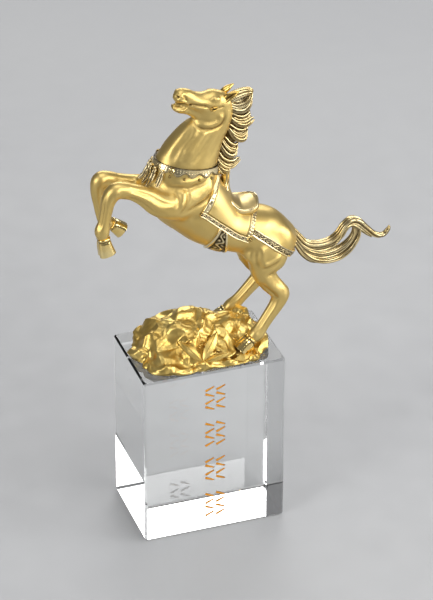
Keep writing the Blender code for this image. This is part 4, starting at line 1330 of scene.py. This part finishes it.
def paint_strokes(block_low, block_high):
    """The paint that lies in the engraved strokes."""
    shape = Shape()
    face = block_low.y
    deep = face + PAINT_DEPTH
    for place in range(PLACES):
        middle = block_high.z - FIRST_PLACE - place * PLACE_PITCH
        for row in range(ROWS_IN_PLACE):
            z = middle + (row - (ROWS_IN_PLACE - 1) / 2) * ROW_PITCH
            slant = math.radians(STROKE_SLANT) * (1 if (place + row) % 2 else -1)
            for side in (-1, 1):
                along = np.array((math.cos(slant), 0, math.sin(slant)))
                across = np.array((-along[2], 0, along[0]))
                u, v = np.linspace(-0.5, 0.5, 15)[:, None], np.linspace(-1, 1, 7)
                width = STROKE_HEAD + (STROKE_TAIL - STROKE_HEAD) * (u + 0.5)
                rounding = np.clip((0.5 - np.abs(u)) / 0.06, 0.35, 1)
                centre = np.array((side * STROKE_SPACING / 2, 0, z))
                flat = centre + along * (u * STROKE_LENGTH * 0.99)[..., None]
                flat = flat + across * (width * 0.48 * rounding * v)[..., None]
                front = flat.copy()
                front[..., 1] = face + 0.00008 + 0.00012 * (1 - v**2)
                back = flat.copy()
                back[..., 1] = deep
                shell = np.concatenate([front, back[:, ::-1]], axis=1)
                index = shape.add_grid(shell, 0.0, around=True)
                shape.add_fan(index[0], shell[0].mean(axis=0), flip=True)
                shape.add_fan(index[-1], shell[-1].mean(axis=0))
    return shape


class Nodes:
    """A material's node tree, with its shader and the inputs that its pattern reads."""

    def __init__(self, name):
        self.material = bpy.data.materials.new(name)
        self.material.use_nodes = True
        self.tree = self.material.node_tree
        self.shader = self.tree.nodes["Principled BSDF"]
        self.place = self.add("ShaderNodeTexCoord").outputs["Object"]

    def add(self, kind, **settings):
        node = self.tree.nodes.new(kind)
        for name, value in settings.items():
            setattr(node, name, value)
        return node

    def link(self, source, target):
        self.tree.links.new(source, target)

    def noise(self, size, detail=3.0, rough=0.5):
        """Smooth noise whose marks are about a size in metres."""
        node = self.add("ShaderNodeTexNoise")
        node.inputs["Scale"].default_value = 1 / size
        node.inputs["Detail"].default_value = detail
        node.inputs["Roughness"].default_value = rough
        self.link(self.place, node.inputs["Vector"])
        return node.outputs["Fac"]

    def spread(self, value, low, high, to_low, to_high):
        node = self.add("ShaderNodeMapRange")
        self.link(value, node.inputs["Value"])
        for name, number in zip(("From Min", "From Max", "To Min", "To Max"), (low, high, to_low, to_high)):
            node.inputs[name].default_value = number
        return node.outputs["Result"]

    def join(self, operation, first, second):
        node = self.add("ShaderNodeMath", operation=operation, use_clamp=True)
        for socket, value in zip(node.inputs, (first, second)):
            if isinstance(value, (int, float)):
                socket.default_value = value
            else:
                self.link(value, socket)
        return node.outputs["Value"]

    def mix(self, share, first, second):
        node = self.add("ShaderNodeMix", data_type="RGBA")
        self.link(share, node.inputs["Factor"])
        for name, value in (("A", first), ("B", second)):
            socket = next(s for s in node.inputs if s.name == name and s.type == "RGBA")
            if isinstance(value, tuple):
                socket.default_value = (*value, 1)
            else:
                self.link(value, socket)
        return next(s for s in node.outputs if s.type == "RGBA")

    def bump(self, height, strength, distance):
        node = self.add("ShaderNodeBump")
        node.inputs["Strength"].default_value = strength
        node.inputs["Distance"].default_value = distance
        self.link(height, node.inputs["Height"])
        self.link(node.outputs["Normal"], self.shader.inputs["Normal"])


def gilt(name, light, warm, deep, roughness, grain_size, grain_height):
    """Gilding in two tones, with shade painted into its recesses, satin where it is marked so, with a grain.
    """
    nodes = Nodes(name)
    clouds = nodes.spread(nodes.noise(0.012, 4), 0.35, 0.65, 0, 1)
    gold = nodes.mix(clouds, light, warm)
    satin = nodes.add("ShaderNodeAttribute", attribute_name="satin").outputs["Fac"]
    gold = nodes.mix(nodes.join("MULTIPLY", satin, nodes.spread(clouds, 0, 1, 1, 0.8)), gold, SATIN_GOLD)
    # Painted shade: the mark, broken by a little noise, mixes the gold towards the dark shade tone and dulls
    # it
    painted_shade = nodes.add("ShaderNodeAttribute", attribute_name="painted_shade").outputs["Fac"]
    shade_share = nodes.join("MULTIPLY", nodes.spread(nodes.noise(0.0016, 5, 0.6), 0.3, 0.7, 0.75, 1.15), painted_shade)
    nodes.link(nodes.mix(shade_share, gold, deep), nodes.shader.inputs["Base Color"])
    smears = nodes.spread(nodes.noise(0.004, 5, 0.6), 0.3, 0.7, roughness * 0.8, roughness * 1.2)
    matt = nodes.join("MULTIPLY", satin, SATIN_ROUGHNESS)
    dull = nodes.join("ADD", nodes.join("MULTIPLY", shade_share, 0.3), matt)
    nodes.link(nodes.join("ADD", smears, dull), nodes.shader.inputs["Roughness"])
    nodes.shader.inputs["Metallic"].default_value = 1
    nodes.bump(nodes.noise(grain_size, 4, 0.6), 0.5, grain_height)
    return nodes.material


def crystal():
    """Clear optical glass with the faintest polish marks."""
    nodes = Nodes("clear_crystal")
    shader = nodes.shader
    shader.inputs["Base Color"].default_value = (0.985, 0.995, 0.99, 1)
    shader.inputs["Transmission Weight"].default_value = 1
    shader.inputs["IOR"].default_value = 1.52
    nodes.link(nodes.spread(nodes.noise(0.006, 4), 0.35, 0.7, 0.0, 0.012), shader.inputs["Roughness"])
    return nodes.material


def paint():
    nodes = Nodes("orange_gold_paint")
    tone = nodes.mix(nodes.spread(nodes.noise(0.0012, 4), 0.3, 0.7, 0, 1), *PAINT_TONES)
    nodes.link(tone, nodes.shader.inputs["Base Color"])
    nodes.link(nodes.spread(nodes.noise(0.0009, 3), 0.3, 0.7, 0.35, 0.5), nodes.shader.inputs["Roughness"])
    nodes.shader.inputs["Metallic"].default_value = 0.35
    nodes.bump(nodes.noise(0.0004, 3), 0.3, 0.00004)
    return nodes.material


def floor_material():
    nodes = Nodes("pale_floor")
    tone = nodes.mix(nodes.spread(nodes.noise(0.4, 3), 0.3, 0.7, 0, 1), *FLOOR_TONES)
    nodes.link(tone, nodes.shader.inputs["Base Color"])
    nodes.link(nodes.spread(nodes.noise(0.02, 4), 0.3, 0.7, 0.42, 0.52), nodes.shader.inputs["Roughness"])
    return nodes.material


def show(name, mesh, material, foot, scale, sharp=None):
    """A piece drawn in the figure's units, put in its place on the block."""
    shape = bmesh.new()
    shape.from_mesh(mesh)
    bmesh.ops.recalc_face_normals(shape, faces=shape.faces)
    shape.to_mesh(mesh)
    shape.free()
    set_points(mesh, points_of(mesh) * scale + (0, 0, foot))
    mesh.polygons.foreach_set("use_smooth", np.ones(len(mesh.polygons), bool))
    if sharp:
        mesh.set_sharp_from_angle(angle=math.radians(sharp))
    mesh.materials.clear()
    mesh.materials.append(material)
    obj = bpy.data.objects.new(name, mesh)
    bpy.context.scene.collection.objects.link(obj)
    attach(obj, "root")
    return obj


def area_light(name, place, aim, size, power):
    data = bpy.data.lights.new(name, "AREA")
    data.shape = "RECTANGLE"
    data.size, data.size_y = size
    data.energy = power
    light = bpy.data.objects.new(name, data)
    light.location = place
    light.rotation_euler = (Vector(aim) - Vector(place)).to_track_quat("-Z", "Y").to_euler()
    bpy.context.scene.collection.objects.link(light)


def studio():
    """A wide pale floor, soft boxes and a grey surround."""
    side = FLOOR_HALF_SIDE
    corners = [(-side, -side), (side, -side), (side, side), (-side, side)]
    mesh = bpy.data.meshes.new("floor")
    mesh.from_pydata([(x, y, -FLOOR_GAP) for x, y in corners], [], [(0, 1, 2, 3)])
    mesh.materials.append(floor_material())
    floor = bpy.data.objects.new("floor", mesh)
    bpy.context.scene.collection.objects.link(floor)
    world = bpy.data.worlds.new("surround")
    world.use_nodes = True
    world.node_tree.nodes["Background"].inputs["Color"].default_value = SURROUND
    world.node_tree.nodes["Background"].inputs["Strength"].default_value = 1
    bpy.context.scene.world = world
    for lamp in LAMPS:
        area_light(*lamp)
    bpy.context.scene.view_settings.view_transform = "Standard"


def camera():
    azimuth, elevation = math.radians(CAMERA_AZIMUTH), math.radians(CAMERA_ELEVATION)
    back = Vector(
        (
            math.sin(azimuth) * math.cos(elevation),
            -math.cos(azimuth) * math.cos(elevation),
            math.sin(elevation),
        )
    )
    data = bpy.data.cameras.new("camera")
    data.sensor_width = SENSOR
    data.lens = CAMERA_LENS
    obj = bpy.data.objects.new("camera", data)
    obj.location = CAMERA_PLACE
    turn = (-back).to_track_quat("-Z", "Y").to_matrix() @ Matrix.Rotation(math.radians(CAMERA_ROLL), 3, "Z")
    obj.rotation_euler = turn.to_euler()
    bpy.context.scene.collection.objects.link(obj)
    bpy.context.scene.camera = obj


def main():
    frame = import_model()
    block_low, block_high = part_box("crystal_block")
    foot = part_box("horse_on_rock")[0].z
    scale = (block_high.z - block_low.z) / BLOCK_UNITS

    gildings = {name: gilt(name, *look) for name, look in GILDINGS.items()}
    skin = skin_mesh()
    tree = tree_of(skin)
    cloth, strap, strap_behind = saddle_cloth(tree), girth(tree), breeching(tree)
    band, studs = breast_collar(tree)
    breast = plumes(tree)
    seat, rim = saddle()
    balls, lids = eyes()
    ornaments = Shape()
    for side in (-1, 1):
        for centre, facing, radius in ROSETTES:
            mirrored = np.array((1, side, 1))
            add_rosette(ornaments, mirrored * centre, mirrored * facing, radius)
    stone = rock().mesh("rock")
    # Shade is painted into the rock's hollows
    set_mark(stone, "painted_shade", np.clip(hollowness(stone, 2) * ROCK_SHADE, 0, 0.85))

    gilded = [
        ("horse_body", skin, "satin_gilt", None),
        ("ears", ears(), "satin_gilt", None),
        ("eyeballs", balls, "polished_gilt", None),
        ("eyelids", lids, "satin_gilt", None),
        ("hooves", hooves(), "polished_gilt", 50),
        ("mane", mane(), "hair_gilt", None),
        ("tail", tail(), "hair_gilt", None),
        ("saddle_cloth", cloth, "bright_gilt", None),
        ("girth", strap, "bright_gilt", None),
        ("breeching", strap_behind, "bright_gilt", None),
        ("breast_collar", band, "bright_gilt", None),
        ("collar_studs", studs, "polished_gilt", None),
        ("breast_plumes", breast, "bright_gilt", None),
        ("rosettes", ornaments, "polished_gilt", None),
        ("saddle", seat, "bright_gilt", None),
        ("saddle_rim", rim, "bright_gilt", None),
        ("rock", stone, "crumpled_gilt", 32),
        ("rock_leaves", leaves(), "crumpled_gilt", None),
    ]
    for name, drawn, gilding, sharp in gilded:
        mesh = drawn.mesh(name) if isinstance(drawn, Shape) else drawn
        piece = show(name, mesh, gildings[gilding], foot, scale, sharp)
        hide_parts("horse_on_rock")

    block = frame["nodes"]["crystal_block"]
    block.data.materials.clear()
    block.data.materials.append(crystal())
    strokes = paint_strokes(block_low, block_high).mesh("inscription_paint")
    show("inscription_paint", strokes, paint(), 0, 1)

    studio()
    camera()


main()
